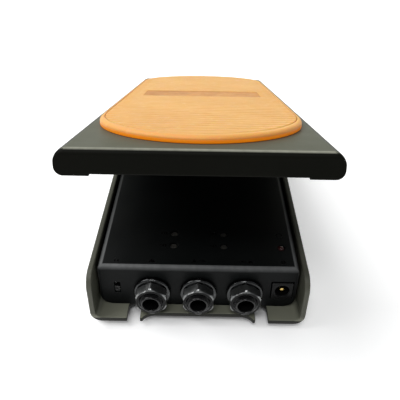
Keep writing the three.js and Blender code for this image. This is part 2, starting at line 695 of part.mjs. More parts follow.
// Two half circles joined by straight sides.
function padOutline(radius) {
  const toe = PAD.toe + PAD.radius;
  const heel = PAD.heel - PAD.radius;
  const step = 9 * DEGREE;
  return [
    ...arc(0, toe, radius, Math.PI, 2 * Math.PI, step), ...arc(0, heel, radius, 0, Math.PI, step),
  ];
}

function treadlePad() {
  const { radius, toe, heel, thickness, bevel, bevelWidth } = PAD;
  const bottom = PLATE.top + GAP / 2;
  const shoulder = bottom + thickness - bevel;
  const shape = new THREE.Shape(padOutline(radius - bevelWidth));
  const domed = new THREE.ExtrudeGeometry(shape, {
    depth: 1, bevelThickness: bevel, bevelSize: bevelWidth, bevelSegments: 3,
  }).translate(0, 0, shoulder - 1);
  const above = block(-radius - 1, radius + 1, toe - 1, heel + 1, shoulder - 0.5, shoulder + bevel + 1);
  return join(prism('Z', bottom, shoulder - 0.2, padOutline(radius)), solid(domed).intersect(above));
}

function pivotBracket() {
  const { half, sheet, web, length, earRadius } = BRACKET;
  const top = PLATE_BOTTOM - GAP;
  const webPlate = block(-half, half, -length / 2, length / 2, web, top);
  const ear = [
    ...arc(0, 0, earRadius, -170 * DEGREE, -10 * DEGREE),
    new THREE.Vector2(length / 2, web + 0.5), new THREE.Vector2(-length / 2, web + 0.5),
  ];
  const ears = [-half, half - sheet].map((x) => cut(
    prism('X', x, x + sheet, ear), rod('X', x - 1, x + sheet + 1, 0, 0, BUSH.outside + 0.2)));
  const tabX = SECTOR.x + SECTOR.thickness + GAP;
  const tab = prism('X', tabX, tabX + sheet,
    rounded([[-8, 6, 3], [8, 6, 3], [8, web + 0.5], [-8, web + 0.5]]));
  return cut(
    join(webPlate, ...ears, tab),
    ...plateRivets.map(({ x, y }) => rod('Z', web - 1, top + 1, x, y, RIVET.radius + 0.2, 12)),
    ...gearRivets.map(({ y, z }) => rod('X', tabX - 1, tabX + sheet + 1, y, z, 1.6, 12)),
  );
}

function plateRivet({ x, y }) {
  const headTop = PLATE.top - 0.1;
  const end = BRACKET.web - GAP;
  return join(
    rod('Z', headTop - 1.4, headTop, x, y, RIVET.head, 16),
    rod('Z', end - 1, headTop - 1, x, y, RIVET.radius, 12),
    rod('Z', end - 1.2, end, x, y, RIVET.head, 16),
  );
}

function pivotBush(side) {
  const { half, sheet } = BRACKET;
  const from = half - sheet - 1;
  const to = half + 0.1;
  return join(
    ring('X', ...ordered(side * from, side * (to + 0.5)), 0, 0, BUSH.inside, BUSH.outside),
    ring('X', ...ordered(side * to, side * (to + BUSH.flangeThickness)), 0, 0,
      BUSH.inside, BUSH.flange),
  );
}

function axleSpacer(side) {
  const from = BRACKET.half + 0.1 + BUSH.flangeThickness + GAP;
  return ring('X', ...ordered(side * from, side * (WALL_INSIDE - GAP)), 0, AXLE.z, 4.2, 6.4);
}

function bumper({ row, side }) {
  const { thickness, length, inside, outside } = BUMPER;
  const middle = BUMPER[row];
  const outline = rectangle(
    ...ordered(side * inside, side * outside), middle - length / 2, middle + length / 2, 1);
  return prism('Z', LIP_BOTTOM - thickness, LIP_BOTTOM - 0.1, outline);
}

// ---------------------------------------------------------------- assembly

const pedal = new THREE.Group();
pedal.add(
  named('base_chassis', baseChassis(), 'olivePaint'),
  ...CORNERS.map((corner) => named(`rubber_foot_${corner.name}`, rubberFoot(corner), 'blackRubber')),
  named('axle_rod', axleRod(), 'blackSteel'),
  named('axle_cap', axleCap(), 'blackSteel'),
  ...SIDES.map(({ name, side }) => named(`axle_spacer_${name}`, axleSpacer(side), 'whiteNylon')),
  named('control_box', controlBox(), 'blackPaint'),
  ...boxScrews.map((screw) =>
    named(`box_screw_${screw.name}`, baseScrew(screw, SCREW.boxLength), 'zincSteel')),
  named('circuit_board', circuitBoard(), 'greenBoard'),
  ...JACKS.flatMap((jack) => [
    named(`jack_socket_${jack.name}`, jackBody(jack), 'blackPlastic'),
    named(`jack_washer_${jack.name}`, jackWasher(jack), 'blackSteel'),
    named(`jack_nut_${jack.name}`, jackNut(jack), 'blackSteel'),
  ]),
  named('power_socket', powerSocket(), 'blackPlastic'),
  named('power_pin', powerPin(), 'brass'),
  named('switch_body', switchBody(), 'zincSteel'),
  named('switch_slider', switchSlider(), 'blackPlastic'),
  ...TRIMMERS.flatMap((trimmer) => [
    named(`trimmer_body_${trimmer.name}`, trimmerBody(trimmer), 'blueTrimmer'),
    named(`trimmer_rotor_${trimmer.name}`, trimmerRotor(trimmer), 'whiteNylon'),
  ]),
  named('status_lamp', statusLamp(), 'redLens'),
  named('pot_bracket', potBracket(), 'zincSteel'),
  ...potScrews.map((screw) =>
    named(`pot_bracket_screw_${screw.name}`, baseScrew(screw, SCREW.bracketLength), 'zincSteel')),
  named('pot_body', potBody(), 'zincSteel'),
  named('pot_nut', potNut(), 'brass'),
  named('pot_shaft', potShaft(), 'zincSteel'),
  named('drive_pinion', drivePinion(), 'whiteNylon'),
  named('pot_cable', potCable(), 'greyCable'),
  named('cable_clip', cableClip(), 'blackPlastic'),
);

const treadle = new THREE.Group();
treadle.position.set(0, 0, AXLE.z);
treadle.rotation.x = -TILT;
treadle.add(
  named('treadle_plate', treadlePlate(), 'olivePaint'),
  named('treadle_pad', treadlePad(), 'amberRubber'),
  named('pivot_bracket', pivotBracket(), 'zincSteel'),
  ...plateRivets.map((rivet) => named(`plate_rivet_${rivet.name}`, plateRivet(rivet), 'zincSteel')),
  ...SIDES.map(({ name, side }) => named(`pivot_bush_${name}`, pivotBush(side), 'brass')),
  named('sector_gear', sectorGear(), 'whiteNylon'),
  ...gearRivets.map((rivet) => named(`gear_rivet_${rivet.name}`, gearRivet(rivet), 'zincSteel')),
  ...CORNERS.map((corner) => named(`bumper_${corner.name}`, bumper(corner), 'blackRubber')),
);
pedal.add(treadle);

export default pedal;
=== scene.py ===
# A volume pedal: the visual model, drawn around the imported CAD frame.
# Shapes are drawn in millimetres in the object's frame: X across, Y from the toe end to the heel end,
# Z up. What rides on the treadle is drawn in the flat treadle's frame, whose origin is on the axle.
# They become metres in piece().

import json
import math

import bmesh
import bpy
from mathutils import Matrix, Vector


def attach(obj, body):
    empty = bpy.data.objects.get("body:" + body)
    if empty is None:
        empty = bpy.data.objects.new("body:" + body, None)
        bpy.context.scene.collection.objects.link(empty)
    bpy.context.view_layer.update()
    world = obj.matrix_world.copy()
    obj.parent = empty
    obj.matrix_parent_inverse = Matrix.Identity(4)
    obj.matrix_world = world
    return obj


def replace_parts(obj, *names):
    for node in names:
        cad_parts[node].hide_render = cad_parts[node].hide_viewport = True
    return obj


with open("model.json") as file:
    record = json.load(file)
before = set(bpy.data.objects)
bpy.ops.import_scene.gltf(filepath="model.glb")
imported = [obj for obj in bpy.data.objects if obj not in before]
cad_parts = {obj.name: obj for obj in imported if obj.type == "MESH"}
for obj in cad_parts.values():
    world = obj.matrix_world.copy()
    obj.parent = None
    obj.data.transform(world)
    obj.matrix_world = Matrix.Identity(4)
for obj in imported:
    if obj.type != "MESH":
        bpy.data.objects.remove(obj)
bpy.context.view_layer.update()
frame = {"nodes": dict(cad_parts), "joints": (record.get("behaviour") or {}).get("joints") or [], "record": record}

MM = 0.001
DEGREE = math.pi / 180
RECORD = frame["record"]
SLOT_OF = {part["node"]: part["material_slot"] for part in RECORD["subparts"]}
BODY_OF = {node: body for body, nodes in RECORD["behaviour"]["bodies"].items() for node in nodes}
JOINTS = {joint["name"]: joint for joint in frame["joints"]}
MOUNTS = {mount["name"]: mount for mount in RECORD["mounts"]}

SIDES = {"left": -1, "right": 1}
CORNERS = [f"{end}_{side}" for end in ("toe", "heel") for side in SIDES]
JACKS = ("left", "middle", "right")

# The resting treadle: tilted about the axle so that the normal of its sole is as the record says.
AXLE = Vector(JOINTS["treadle_rock"]["pos_m"]) / MM
SOLE_NORMAL = Vector(MOUNTS["sole_rest"]["axis"])
TILT = math.atan2(SOLE_NORMAL.y, SOLE_NORMAL.z)
TREADLE = Matrix.Translation(AXLE) @ Matrix.Rotation(-TILT, 4, "X")


def extent(node, treadle=False):
    """Lowest and highest corner of a CAD node in mm, in the object's or the flat treadle's frame."""
    into = TREADLE.inverted() if treadle else Matrix.Identity(4)
    points = [into @ (v.co / MM) for v in frame["nodes"][node].data.vertices]
    low = Vector(min(p[i] for p in points) for i in range(3))
    high = Vector(max(p[i] for p in points) for i in range(3))
    return low, high


def node_centre(node, treadle=False):
    low, high = extent(node, treadle)
    return (low + high) / 2


# The base is one sheet, folded up at both sides. FLOOR is the top of its flat part.
BASE_LOW, BASE_HIGH = extent("base_chassis")
BASE_SHEET = 2.3
FLOOR = BASE_LOW.z + BASE_SHEET


# ---------------------------------------------------------------- outlines

FINE = 6 * DEGREE               # the turn between two points of an arc


def arc(x, y, radius, start, end, step=FINE):
    count = max(2, round(abs(end - start) / step))
    angles = [start + (end - start) * i / count for i in range(count + 1)]
    return [(x + radius * math.cos(a), y + radius * math.sin(a)) for a in angles]


def circle(x, y, radius, sides=48):
    return arc(x, y, radius, 0, 2 * math.pi, 2 * math.pi / sides)[:sides]


def rounded(corners, step=FINE):
    """A polygon whose corners are (x, y) or (x, y, radius)."""
    outline = []
    for i, corner in enumerate(corners):
        here = Vector(corner[:2])
        radius = corner[2] if len(corner) > 2 else 0
        if radius == 0:
            outline.append(tuple(here))
            continue
        before = (Vector(corners[i - 1][:2]) - here).normalized()
        after = (Vector(corners[(i + 1) % len(corners)][:2]) - here).normalized()
        half = math.acos(max(-1, min(1, before.dot(after)))) / 2
        centre = here + (before + after).normalized() * (radius / math.sin(half))
        start = here + before * (radius / math.tan(half)) - centre
        end = here + after * (radius / math.tan(half)) - centre
        first = math.atan2(start.y, start.x)
        turn = math.remainder(math.atan2(end.y, end.x) - first, 2 * math.pi)
        outline += arc(centre.x, centre.y, radius, first, first + turn, step)
    return outline


def rectangle(x0, x1, y0, y1, radius=0):
    x0, x1 = sorted((x0, x1))
    y0, y1 = sorted((y0, y1))
    return rounded([(x0, y0, radius), (x1, y0, radius), (x1, y1, radius), (x0, y1, radius)])


# ---------------------------------------------------------------- solids

TINY = 0.02                     # stands for a radius of zero, so that no two points meet

AXES = {
    "X": lambda along, a, b: (along, a, b),
    "Y": lambda along, a, b: (a, along, b),
    "Z": lambda along, a, b: (a, b, along),
}


def solid(points, faces):
    form = bmesh.new()
    vertices = [form.verts.new(point) for point in points]
    for face in faces:
        form.faces.new([vertices[i] for i in face])
    bmesh.ops.recalc_face_normals(form, faces=form.faces)
    return form


def loft(rings, closed=False):
    """Rings of equal length joined by quads: with capped ends, or with the last joined to the first."""
    size, count = len(rings[0]), len(rings)
    points = [point for ring in rings for point in ring]
    faces = [] if closed else [tuple(range(size)), tuple(range(len(points) - size, len(points)))]
    for r in range(count if closed else count - 1):
        for i in range(size):
            j, s = (i + 1) % size, (r + 1) % count
            faces.append((r * size + i, r * size + j, s * size + j, s * size + i))
    return solid(points, faces)


def prism(axis, start, end, outline):
    """An outline of (y, z) pushed along X, (x, z) along Y or (x, y) along Z."""
    return loft([[AXES[axis](along, a, b) for a, b in outline] for along in (start, end)])


def soft_prism(axis, start, end, outline, radius, steps=4):
    """A prism with rounded ends; outline(d) gives the outline moved inwards by d."""
    rings = []
    for i in range(steps + 1):
        turn = i / steps * math.pi / 2
        rings.append((start + radius * (1 - math.cos(turn)), outline(radius * (1 - math.sin(turn)))))
    rings += [(start + end - along, ring) for along, ring in reversed(rings)]
    return loft([[AXES[axis](along, a, b) for a, b in ring] for along, ring in rings])


def soft_block(axis, low, high, corner, edge):
    """A block in the box from low to high, with rounded corners about an axis and softened ends."""
    a, b = (i for i, name in enumerate("XYZ") if name != axis)

    def outline(inset):
        return rectangle(low[a] + inset, high[a] - inset, low[b] + inset, high[b] - inset,
                         max(corner - inset, TINY))

    along = "XYZ".index(axis)
    return soft_prism(axis, low[along], high[along], outline, edge)


def rod(axis, start, end, a, b, radius, sides=48):
    return prism(axis, start, end, circle(a, b, radius, sides))


def block(x0, x1, y0, y1, z0, z1, radius=0):
    return prism("Z", z0, z1, rectangle(x0, x1, y0, y1, radius))


def turned(axis, a, b, profile, sides=64):
    """A solid turned about a line along an axis through (a, b), from (radius, along) pairs."""
    return loft([
        [AXES[axis](along, u, v) for u, v in circle(a, b, max(radius, TINY), sides)]
        for radius, along in profile
    ])


def ringed(axis, a, b, profile, sides=64):
    """A turned ring, whose closed profile of (radius, along) pairs stays off the line."""
    return loft([
        [AXES[axis](along, a + radius * math.cos(turn), b + radius * math.sin(turn))
         for radius, along in profile]
        for turn in (2 * math.pi * i / sides for i in range(sides))
    ], closed=True)


def placed(form, matrix):
    form.transform(matrix)
    return form


def marked(form, name, share):
    """Stores a value from 0 to 1 at each vertex, worked out from its place, for a material to read."""
    layer = form.verts.layers.float.new(name)
    for vertex in form.verts:
        vertex[layer] = max(0.0, min(1.0, float(share(vertex.co))))


def merged(forms):
    """Separate solids in one form."""
    whole = bmesh.new()
    for form in forms:
        mesh = bpy.data.meshes.new("part")
        form.to_mesh(mesh)
        form.free()
        whole.from_mesh(mesh)
        bpy.data.meshes.remove(mesh)
    return whole


def helper(form):
    mesh = bpy.data.meshes.new("helper")
    form.to_mesh(mesh)
    form.free()
    thing = bpy.data.objects.new("helper", mesh)
    bpy.context.scene.collection.objects.link(thing)
    return thing


def combined(operation, body, tools):
    """The body joined with, cut by or kept inside each tool in turn."""
    things = [helper(form) for form in (body, *tools)]
    for tool in things[1:]:
        modifier = things[0].modifiers.new("combine", "BOOLEAN")
        modifier.operation = operation
        modifier.solver = "EXACT"
        modifier.object = tool
    result = bmesh.new()
    result.from_object(things[0], bpy.context.evaluated_depsgraph_get())
    for thing in things:
        bpy.data.meshes.remove(thing.data)
    bmesh.ops.remove_doubles(result, verts=result.verts, dist=0.002)
    bmesh.ops.dissolve_limit(
        result, angle_limit=0.2 * DEGREE, verts=result.verts, edges=result.edges)
    return result


def join(body, *tools):
    return combined("UNION", body, tools)


def cut(body, *tools):
    return combined("DIFFERENCE", body, tools)


def meet(body, *tools):
    return combined("INTERSECT", body, tools)


# ---------------------------------------------------------------- materials


class Look:
    """A procedural material: a Principled shader with nodes added in front of it."""

    def __init__(self, name, roughness=0.5, metallic=0.0, **sockets):
        self.material = bpy.data.materials.new(name)
        self.material.use_nodes = True
        self.tree = self.material.node_tree
        self.shader = self.tree.nodes["Principled BSDF"]
        self.set(self.shader, Roughness=roughness, Metallic=metallic, **sockets)
        self.place = self.tree.nodes.new("ShaderNodeTexCoord").outputs["Object"]

    def give(self, socket, value):
        """Links a socket to another one, or sets its value."""
        if isinstance(value, bpy.types.NodeSocket):
            self.tree.links.new(value, socket)
        else:
            socket.default_value = value

    def set(self, node, **sockets):
        for name, value in sockets.items():
            self.give(node.inputs[name.replace("_", " ")], value)
        return node

    def stretched(self, x, y, z):
        """Object coordinates scaled apart, for brushed or drawn grain."""
        node = self.tree.nodes.new("ShaderNodeMapping")
        return self.set(node, Vector=self.place, Scale=(x, y, z)).outputs["Vector"]

    def noise(self, size_mm, detail=3.0, where=None):
        """Smooth noise from 0 to 1 whose blotches are about size_mm across."""
        node = self.tree.nodes.new("ShaderNodeTexNoise")
        self.set(node, Vector=where or self.place, Scale=1 / (size_mm * MM), Detail=detail)
        return node.outputs["Fac"]

    def attribute(self, name):
        node = self.tree.nodes.new("ShaderNodeAttribute")
        node.attribute_name = name
        return node.outputs["Fac"]

    def along(self, axis):
        """The place on the object along one axis, in metres."""
        node = self.tree.nodes.new("ShaderNodeSeparateXYZ")
        return self.set(node, Vector=self.place).outputs[axis]

    def edges(self, low=0.52, high=0.58):
        """1 along convex edges, 0 on flats."""
        geometry = self.tree.nodes.new("ShaderNodeNewGeometry")
        return self.span(geometry.outputs["Pointiness"], low, high, 0, 1)

    def span(self, value, low, high, to_low, to_high):
        """A value from low to high, clamped and spread from to_low to to_high."""
        node = self.tree.nodes.new("ShaderNodeMapRange")
        self.set(node, Value=value, From_Min=low, From_Max=high, To_Min=to_low, To_Max=to_high)
        return node.outputs["Result"]

    def reckon(self, operation, *values):
        node = self.tree.nodes.new("ShaderNodeMath")
        node.operation = operation
        for socket, value in zip(node.inputs, values):
            self.give(socket, value)
        return node.outputs["Value"]

    def times(self, a, b):
        return self.reckon("MULTIPLY", a, b)

    def mix(self, amount, first, second):
        """The first colour where amount is 0, the second where it is 1."""
        node = self.tree.nodes.new("ShaderNodeMix")
        node.data_type = "RGBA"
        self.set(node, Factor=amount)
        for name, value in (("A", first), ("B", second)):
            socket = next(s for s in node.inputs if s.name == name and s.type == "RGBA")
            self.give(socket, (*value, 1) if isinstance(value, tuple) else value)
        return next(s for s in node.outputs if s.type == "RGBA")

    def color(self, socket):
        self.set(self.shader, Base_Color=socket)

    def roughness(self, socket):
        self.set(self.shader, Roughness=socket)

    def bump(self, height, depth_mm, strength=1.0):
        """Adds relief on top of any that is already there."""
        node = self.tree.nodes.new("ShaderNodeBump")
        self.set(node, Height=height, Distance=depth_mm * MM, Strength=strength)
        normal = self.shader.inputs["Normal"]
        if normal.is_linked:
            self.tree.links.new(normal.links[0].from_socket, node.inputs["Normal"])
        self.tree.links.new(node.outputs["Normal"], normal)


PAINTED_LIGHT_HEIGHT = 2.7               # painted light on the base thins out up to this far above its floor
# Painted light: the lighter olive given to the treadle plate's top face over its near-black paint.
LIT_TOP_OLIVE = ((0.1, 0.105, 0.078), (0.112, 0.117, 0.089))


def powder_coat(name, dark, light, worn, roughness, specular, on_base=False):
    """Satin powder coat: orange-peel relief, faint clouds, fine specks, worn edges on the base, and a
    painted highlight along marked edges elsewhere.

    On the base, painted light brightens the floor of the channel and up its bends, and painted shade
    darkens the cut edges of the sheet, below the floor's top. On the other pieces the attribute lit
    marks a face that gets a lighter olive as painted light, and another attribute marks the edges that
    get a painted highlight.
    """
    look = Look(name, roughness, Specular_IOR_Level=specular)
    cloud = look.span(look.noise(26, 4), 0.3, 0.7, 0, 0.5)
    grain = look.span(look.noise(0.7, 2), 0.35, 0.65, 0, 0.3)
    body = look.mix(grain, look.mix(cloud, dark, light), light)
    scuff = look.span(look.noise(2.5, 2, look.stretched(1, 0.35, 1)), 0.3, 0.7, 0.5, 0.66)
    if on_base:
        height, floor = look.along("Z"), FLOOR * MM
        body = look.mix(look.times(look.edges(0.53, 0.62), scuff), body, worn)
        # Painted light: the floor of the channel and the bends just above it are lightened.
        dust_and_painted_light = look.span(height, floor - 0.1 * MM, floor + PAINTED_LIGHT_HEIGHT * MM, 0.8, 0)
        body = look.mix(dust_and_painted_light, body, tuple(2.3 * c for c in light))
        # Painted shade: the cut edges of the sheet, below the floor's top, are darkened.
        painted_shade = look.span(height, floor - 0.25 * MM, floor - 0.05 * MM, 0.97, 0)
        body = look.mix(painted_shade, body, tuple(0.12 * c for c in dark))
    else:
        # Painted light: the marked top face gets the lighter olive.
        body = look.mix(look.attribute("lit"), body, look.mix(grain, *LIT_TOP_OLIVE))
        # Painted highlight: the worn colour along the marked edges.
        body = look.mix(look.times(look.attribute("painted_highlight"), scuff), body, worn)
    look.color(body)
    look.roughness(look.span(look.noise(14, 3), 0.3, 0.7, roughness - 0.03, roughness + 0.05))
    look.bump(look.noise(1.4, 2), 0.02)
    look.bump(look.noise(0.35, 1), 0.012)
    return look.material


def amber_rubber():
    """Translucent moulded rubber: pale on its faces, with a painted deep-orange glow (colour and emission) along
    its sides for light through its edges, and painted shade in its grooves.
    """
    look = Look("amber_pad", 0.5, Subsurface_Weight=0.55, Subsurface_Scale=0.005, IOR=1.45,
                Subsurface_Radius=(1.0, 0.4, 0.08), Emission_Color=(1.0, 0.26, 0.0, 1))
    cloud = look.span(look.noise(38, 4), 0.32, 0.68, 0, 1)
    body = look.mix(cloud, (0.765, 0.372, 0.098), (0.815, 0.415, 0.118))
    dust_and_painted_light = look.span(look.noise(3.5, 6), 0.56, 0.74, 0, 0.25)
    body = look.mix(dust_and_painted_light, body, (0.93, 0.63, 0.33))
    scuff = look.span(look.noise(7, 6, look.stretched(0.25, 1, 1)), 0.62, 0.8, 0, 0.15)
    body = look.mix(scuff, body, (0.7, 0.38, 0.15))
    # Painted shade: darker in the grooves.
    body = look.mix(look.attribute("groove"), body, (0.4, 0.14, 0.025))
    # Painted light: the sides get a saturated orange and a faint glow, for light passing through the rubber.
    rim = look.attribute("rim")
    look.color(look.mix(rim, body, (0.95, 0.27, 0.002)))
    look.set(look.shader, Emission_Strength=look.times(rim, 0.3))
    look.roughness(look.span(look.noise(5, 5), 0.3, 0.7, 0.46, 0.6))
    look.bump(look.noise(0.5, 3), 0.03)
    look.bump(look.noise(4, 2), 0.03)
    return look.material


def amber_panel():
    """The plain satin patch set into the pad, browner and with a hazy print-like mottling."""
    look = Look("amber_panel", 0.6, Subsurface_Weight=0.2, Subsurface_Scale=0.003,
                Subsurface_Radius=(1.0, 0.4, 0.08), Specular_IOR_Level=0.25)
    haze = look.span(look.noise(11, 3, look.stretched(1, 0.5, 1)), 0.35, 0.65, 0, 1)
    body = look.mix(haze, (0.56, 0.245, 0.072), (0.69, 0.315, 0.09))
    look.color(look.mix(look.span(look.noise(1.2, 3), 0.4, 0.7, 0, 0.3), body, (0.46, 0.2, 0.07)))
    look.roughness(look.span(look.noise(3, 4), 0.3, 0.7, 0.5, 0.66))
    look.bump(look.noise(0.4, 2), 0.02)
    return look.material


def black_rubber():
    """Matt rubber with chalky dust on it."""
    look = Look("black_rubber", 0.75)
    chalk = look.span(look.noise(2.5, 6), 0.5, 0.72, 0, 0.5)
    look.color(look.mix(chalk, (0.012, 0.012, 0.013), (0.05, 0.049, 0.047)))
    look.roughness(look.span(look.noise(1.5, 4), 0.3, 0.7, 0.65, 0.85))
    look.bump(look.noise(0.5, 4), 0.05)
    return look.material


def plated(name, color, tint, roughness, grain=(1, 1, 12), scratch=0.02):
    """Plated or drawn metal: fine grain lines, cloudy plating and brighter rubbed edges."""
    look = Look(name, roughness, 1.0)
    cloud = look.span(look.noise(5, 4), 0.35, 0.65, 0, 1)
    body = look.mix(cloud, color, tint)
    bright = tuple(min(1.0, 1.5 * c + 0.08) for c in color)
    look.color(look.mix(look.times(look.edges(), 0.6), body, bright))
    lines = look.noise(0.8, 3, look.stretched(*grain))
    look.roughness(look.span(lines, 0.3, 0.7, roughness - 0.08, roughness + 0.12))
    look.bump(lines, scratch)
    look.bump(look.noise(2.2, 3), 0.02)
    return look.material


def moulded(name, color, pale, roughness=0.35, specular=0.5):
    """Moulded plastic: fine spark texture, slight colour drift, handling marks and dust."""
    look = Look(name, roughness, Specular_IOR_Level=specular)
    cloud = look.span(look.noise(7, 4), 0.35, 0.65, 0, 1)
    body = look.mix(cloud, color, pale)
    look.color(look.mix(look.times(look.edges(), 0.35), body, tuple(c * 1.4 + 0.008 for c in pale)))
    look.roughness(look.span(look.noise(2, 5), 0.3, 0.7, roughness - 0.08, roughness + 0.1))
    look.bump(look.noise(0.5, 2), 0.02)
    return look.material


def solder_resist():
    """Circuit board: green resist over faint copper traces."""
    look = Look("green_board", 0.3, Coat_Weight=0.3)
    lines = look.tree.nodes.new("ShaderNodeTexBrick")
    look.set(lines, Vector=look.place, Scale=170.0, Mortar_Size=0.03, Color1=(0.01, 0.09, 0.035, 1),
             Color2=(0.012, 0.1, 0.04, 1), Mortar=(0.03, 0.2, 0.07, 1))
    weave = look.span(look.noise(0.6, 2), 0.4, 0.6, 0, 0.3)
    look.color(look.mix(weave, lines.outputs["Color"], (0.02, 0.14, 0.05)))
    look.roughness(look.span(look.noise(4, 3), 0.3, 0.7, 0.25, 0.4))
    look.bump(lines.outputs["Fac"], 0.03)
    return look.material


def lens():
    """Dark red see-through plastic of an unlit lamp."""
    look = Look("red_lens", 0.12, Transmission_Weight=0.35, IOR=1.49)
    swirl = look.span(look.noise(0.8, 3), 0.35, 0.65, 0, 1)
    look.color(look.mix(swirl, (0.035, 0.005, 0.005), (0.06, 0.01, 0.009)))
    look.roughness(look.span(look.noise(0.5, 3), 0.3, 0.7, 0.08, 0.2))
    look.bump(look.noise(0.3, 2), 0.01)
    return look.material


CORE_PITCH = 1.27


def ribbon_cable():
    """Grey insulation, striped and grooved along the cable."""
    look = Look("grey_cable", 0.5)
    wave = look.tree.nodes.new("ShaderNodeTexWave")
    wave.bands_direction = "X"
    look.set(wave, Vector=look.place, Scale=3.1 / (2 * math.pi * CORE_PITCH * MM))
    look.color(look.mix(wave.outputs["Fac"], (0.08, 0.085, 0.09), (0.2, 0.21, 0.22)))
    look.roughness(look.span(look.noise(2, 3), 0.3, 0.7, 0.42, 0.6))
    look.bump(wave.outputs["Fac"], 0.25)
    return look.material


def print_ink():
    """Glossy black screen print on the satin paint, a little worn."""
    look = Look("print_ink", 0.2, Specular_IOR_Level=0.2)
    worn = look.span(look.noise(0.6, 4), 0.5, 0.75, 0, 1)
    look.color(look.mix(worn, (0.001, 0.001, 0.001), (0.006, 0.006, 0.006)))
    look.roughness(look.span(look.noise(1.1, 3), 0.3, 0.7, 0.15, 0.35))
    look.bump(look.noise(0.3, 2), 0.01)
    return look.material


LOOKS = {
    "olive_paint": powder_coat("olive_paint", (0.068, 0.069, 0.052), (0.09, 0.092, 0.071),
                               (0.2, 0.2, 0.175), 0.4, 0.2, on_base=True),
    # Painted shade: a near-black copy of the olive paint for the treadle; its worn colour is a painted highlight.
    "shaded_treadle_paint": powder_coat("shaded_treadle_paint", (0.004, 0.0042, 0.003), (0.006, 0.0062, 0.0045),
                                 (0.4, 0.4, 0.33), 0.45, 0.04),
    # Black paint of the box; its worn colour serves only as a painted highlight on the front bend.
    "black_paint": powder_coat("black_paint", (0.0035, 0.004, 0.004), (0.006, 0.007, 0.007),
                               (0.2, 0.205, 0.205), 0.36, 0.09),
    "amber_pad": amber_rubber(),
    "black_rubber": black_rubber(),
    "zinc_steel": plated("zinc_steel", (0.5, 0.51, 0.53), (0.62, 0.62, 0.58), 0.3, (1, 8, 8)),
    "black_steel": plated("black_steel", (0.032, 0.033, 0.034), (0.055, 0.057, 0.057), 0.18),
    # Painted light: a brighter copy of the black steel for the nut's flats and chamfers.
    "painted_light_flats": plated("painted_light_flats", (0.16, 0.165, 0.165), (0.26, 0.265, 0.26), 0.34),
    "brass": plated("brass", (0.6, 0.42, 0.12), (0.7, 0.5, 0.2), 0.27),
    "black_plastic": moulded("black_plastic", (0.0025, 0.0025, 0.0027), (0.005, 0.005, 0.0052),
                             0.16, 0.12),
    "polished_rim": moulded("polished_rim", (0.004, 0.004, 0.004), (0.008, 0.008, 0.008), 0.14, 0.4),
    # Painted shade: a darker finish for the nut's front faces.
    "painted_shade_face": moulded("painted_shade_face", (0.005, 0.005, 0.005), (0.01, 0.01, 0.01),
                              0.3, 0.12),
    "white_nylon": moulded("white_nylon", (0.7, 0.68, 0.6), (0.78, 0.76, 0.7), 0.45),
    # Painted shade: a near-black copy of white nylon, for the trimmer rotors under the treadle.
    "shaded_white_nylon": moulded("shaded_white_nylon", (0.02, 0.019, 0.017), (0.04, 0.038, 0.033), 0.3),
    "green_board": solder_resist(),
    "blue_plastic": moulded("blue_plastic", (0.025, 0.08, 0.34), (0.04, 0.11, 0.42), 0.35),
    "red_lens": lens(),
    "grey_cable": ribbon_cable(),
}


# ---------------------------------------------------------------- pieces


def piece(name, form, look, body, slot, bevel=0.0, treadle=False, sharp=35, flats=True):
    """A shown piece, from a form in mm, which is used up.

    Edges that turn by more than sharp degrees get a rounding of radius bevel, or stay sharp where
    bevel is 0. With flats, large faces are evenly shaded.
    """
    if treadle:
        form.transform(TREADLE)
    form.transform(Matrix.Scale(MM, 4))
    mesh = bpy.data.meshes.new(name)
    form.to_mesh(mesh)
    form.free()
    mesh.shade_smooth()
    mesh.materials.append(look)
    thing = bpy.data.objects.new(name, mesh)
    bpy.context.scene.collection.objects.link(thing)
    if bevel:
        edges = thing.modifiers.new("edges", "BEVEL")
        edges.width = bevel * MM
        edges.segments = 3
        edges.limit_method = "ANGLE"
        edges.angle_limit = sharp * DEGREE
        edges.use_clamp_overlap = False
    else:
        mesh.set_sharp_from_angle(angle=sharp * DEGREE)
    if flats:
        normals = thing.modifiers.new("normals", "WEIGHTED_NORMAL")
        normals.keep_sharp = True
        normals.weight = 90
    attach(thing, body)
    return thing


def refined(node, form, bevel=0.0, sharp=35, look=None, flats=True):
    """A piece that stands for a CAD node, with that node's body and finish."""
    treadle = BODY_OF[node] == "treadle"
    thing = piece(f"{node}_fine", form, look or LOOKS[SLOT_OF[node]], BODY_OF[node], SLOT_OF[node],
                  bevel, treadle, sharp, flats)
    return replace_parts(thing, node)


# ---------------------------------------------------------------- treadle

PLATE_LOW, PLATE_HIGH = extent("treadle_plate", treadle=True)
PLATE_SHEET = 2.0
PLATE_EDGE = 5.0          # outer radius of the bends along both sides, at the top
LIP_EDGE = 3.5            # and at the lips turned in below
LIP_WIDTH = 12.0
END_BEND = 2.4            # outer radius of the bend at each end
END_RISE = 0.8            # the end walls stop this far above the side lips
TIP_EDGE = 0.7            # rounding of the sheet's cut edges
HIGHLIGHT_STRIP = 2.0        # the painted highlight reaches this far from each end of the plate


def plate_section(across, below, above):
    """The plate's outer section, moved inwards by three distances."""
    x = PLATE_HIGH.x - across
    low, high = PLATE_LOW.z + below, PLATE_HIGH.z - above
    lip, edge = LIP_EDGE - max(across, below), PLATE_EDGE - max(across, above)
    return rounded([(-x, low, lip), (x, low, lip), (x, high, edge), (-x, high, edge)])


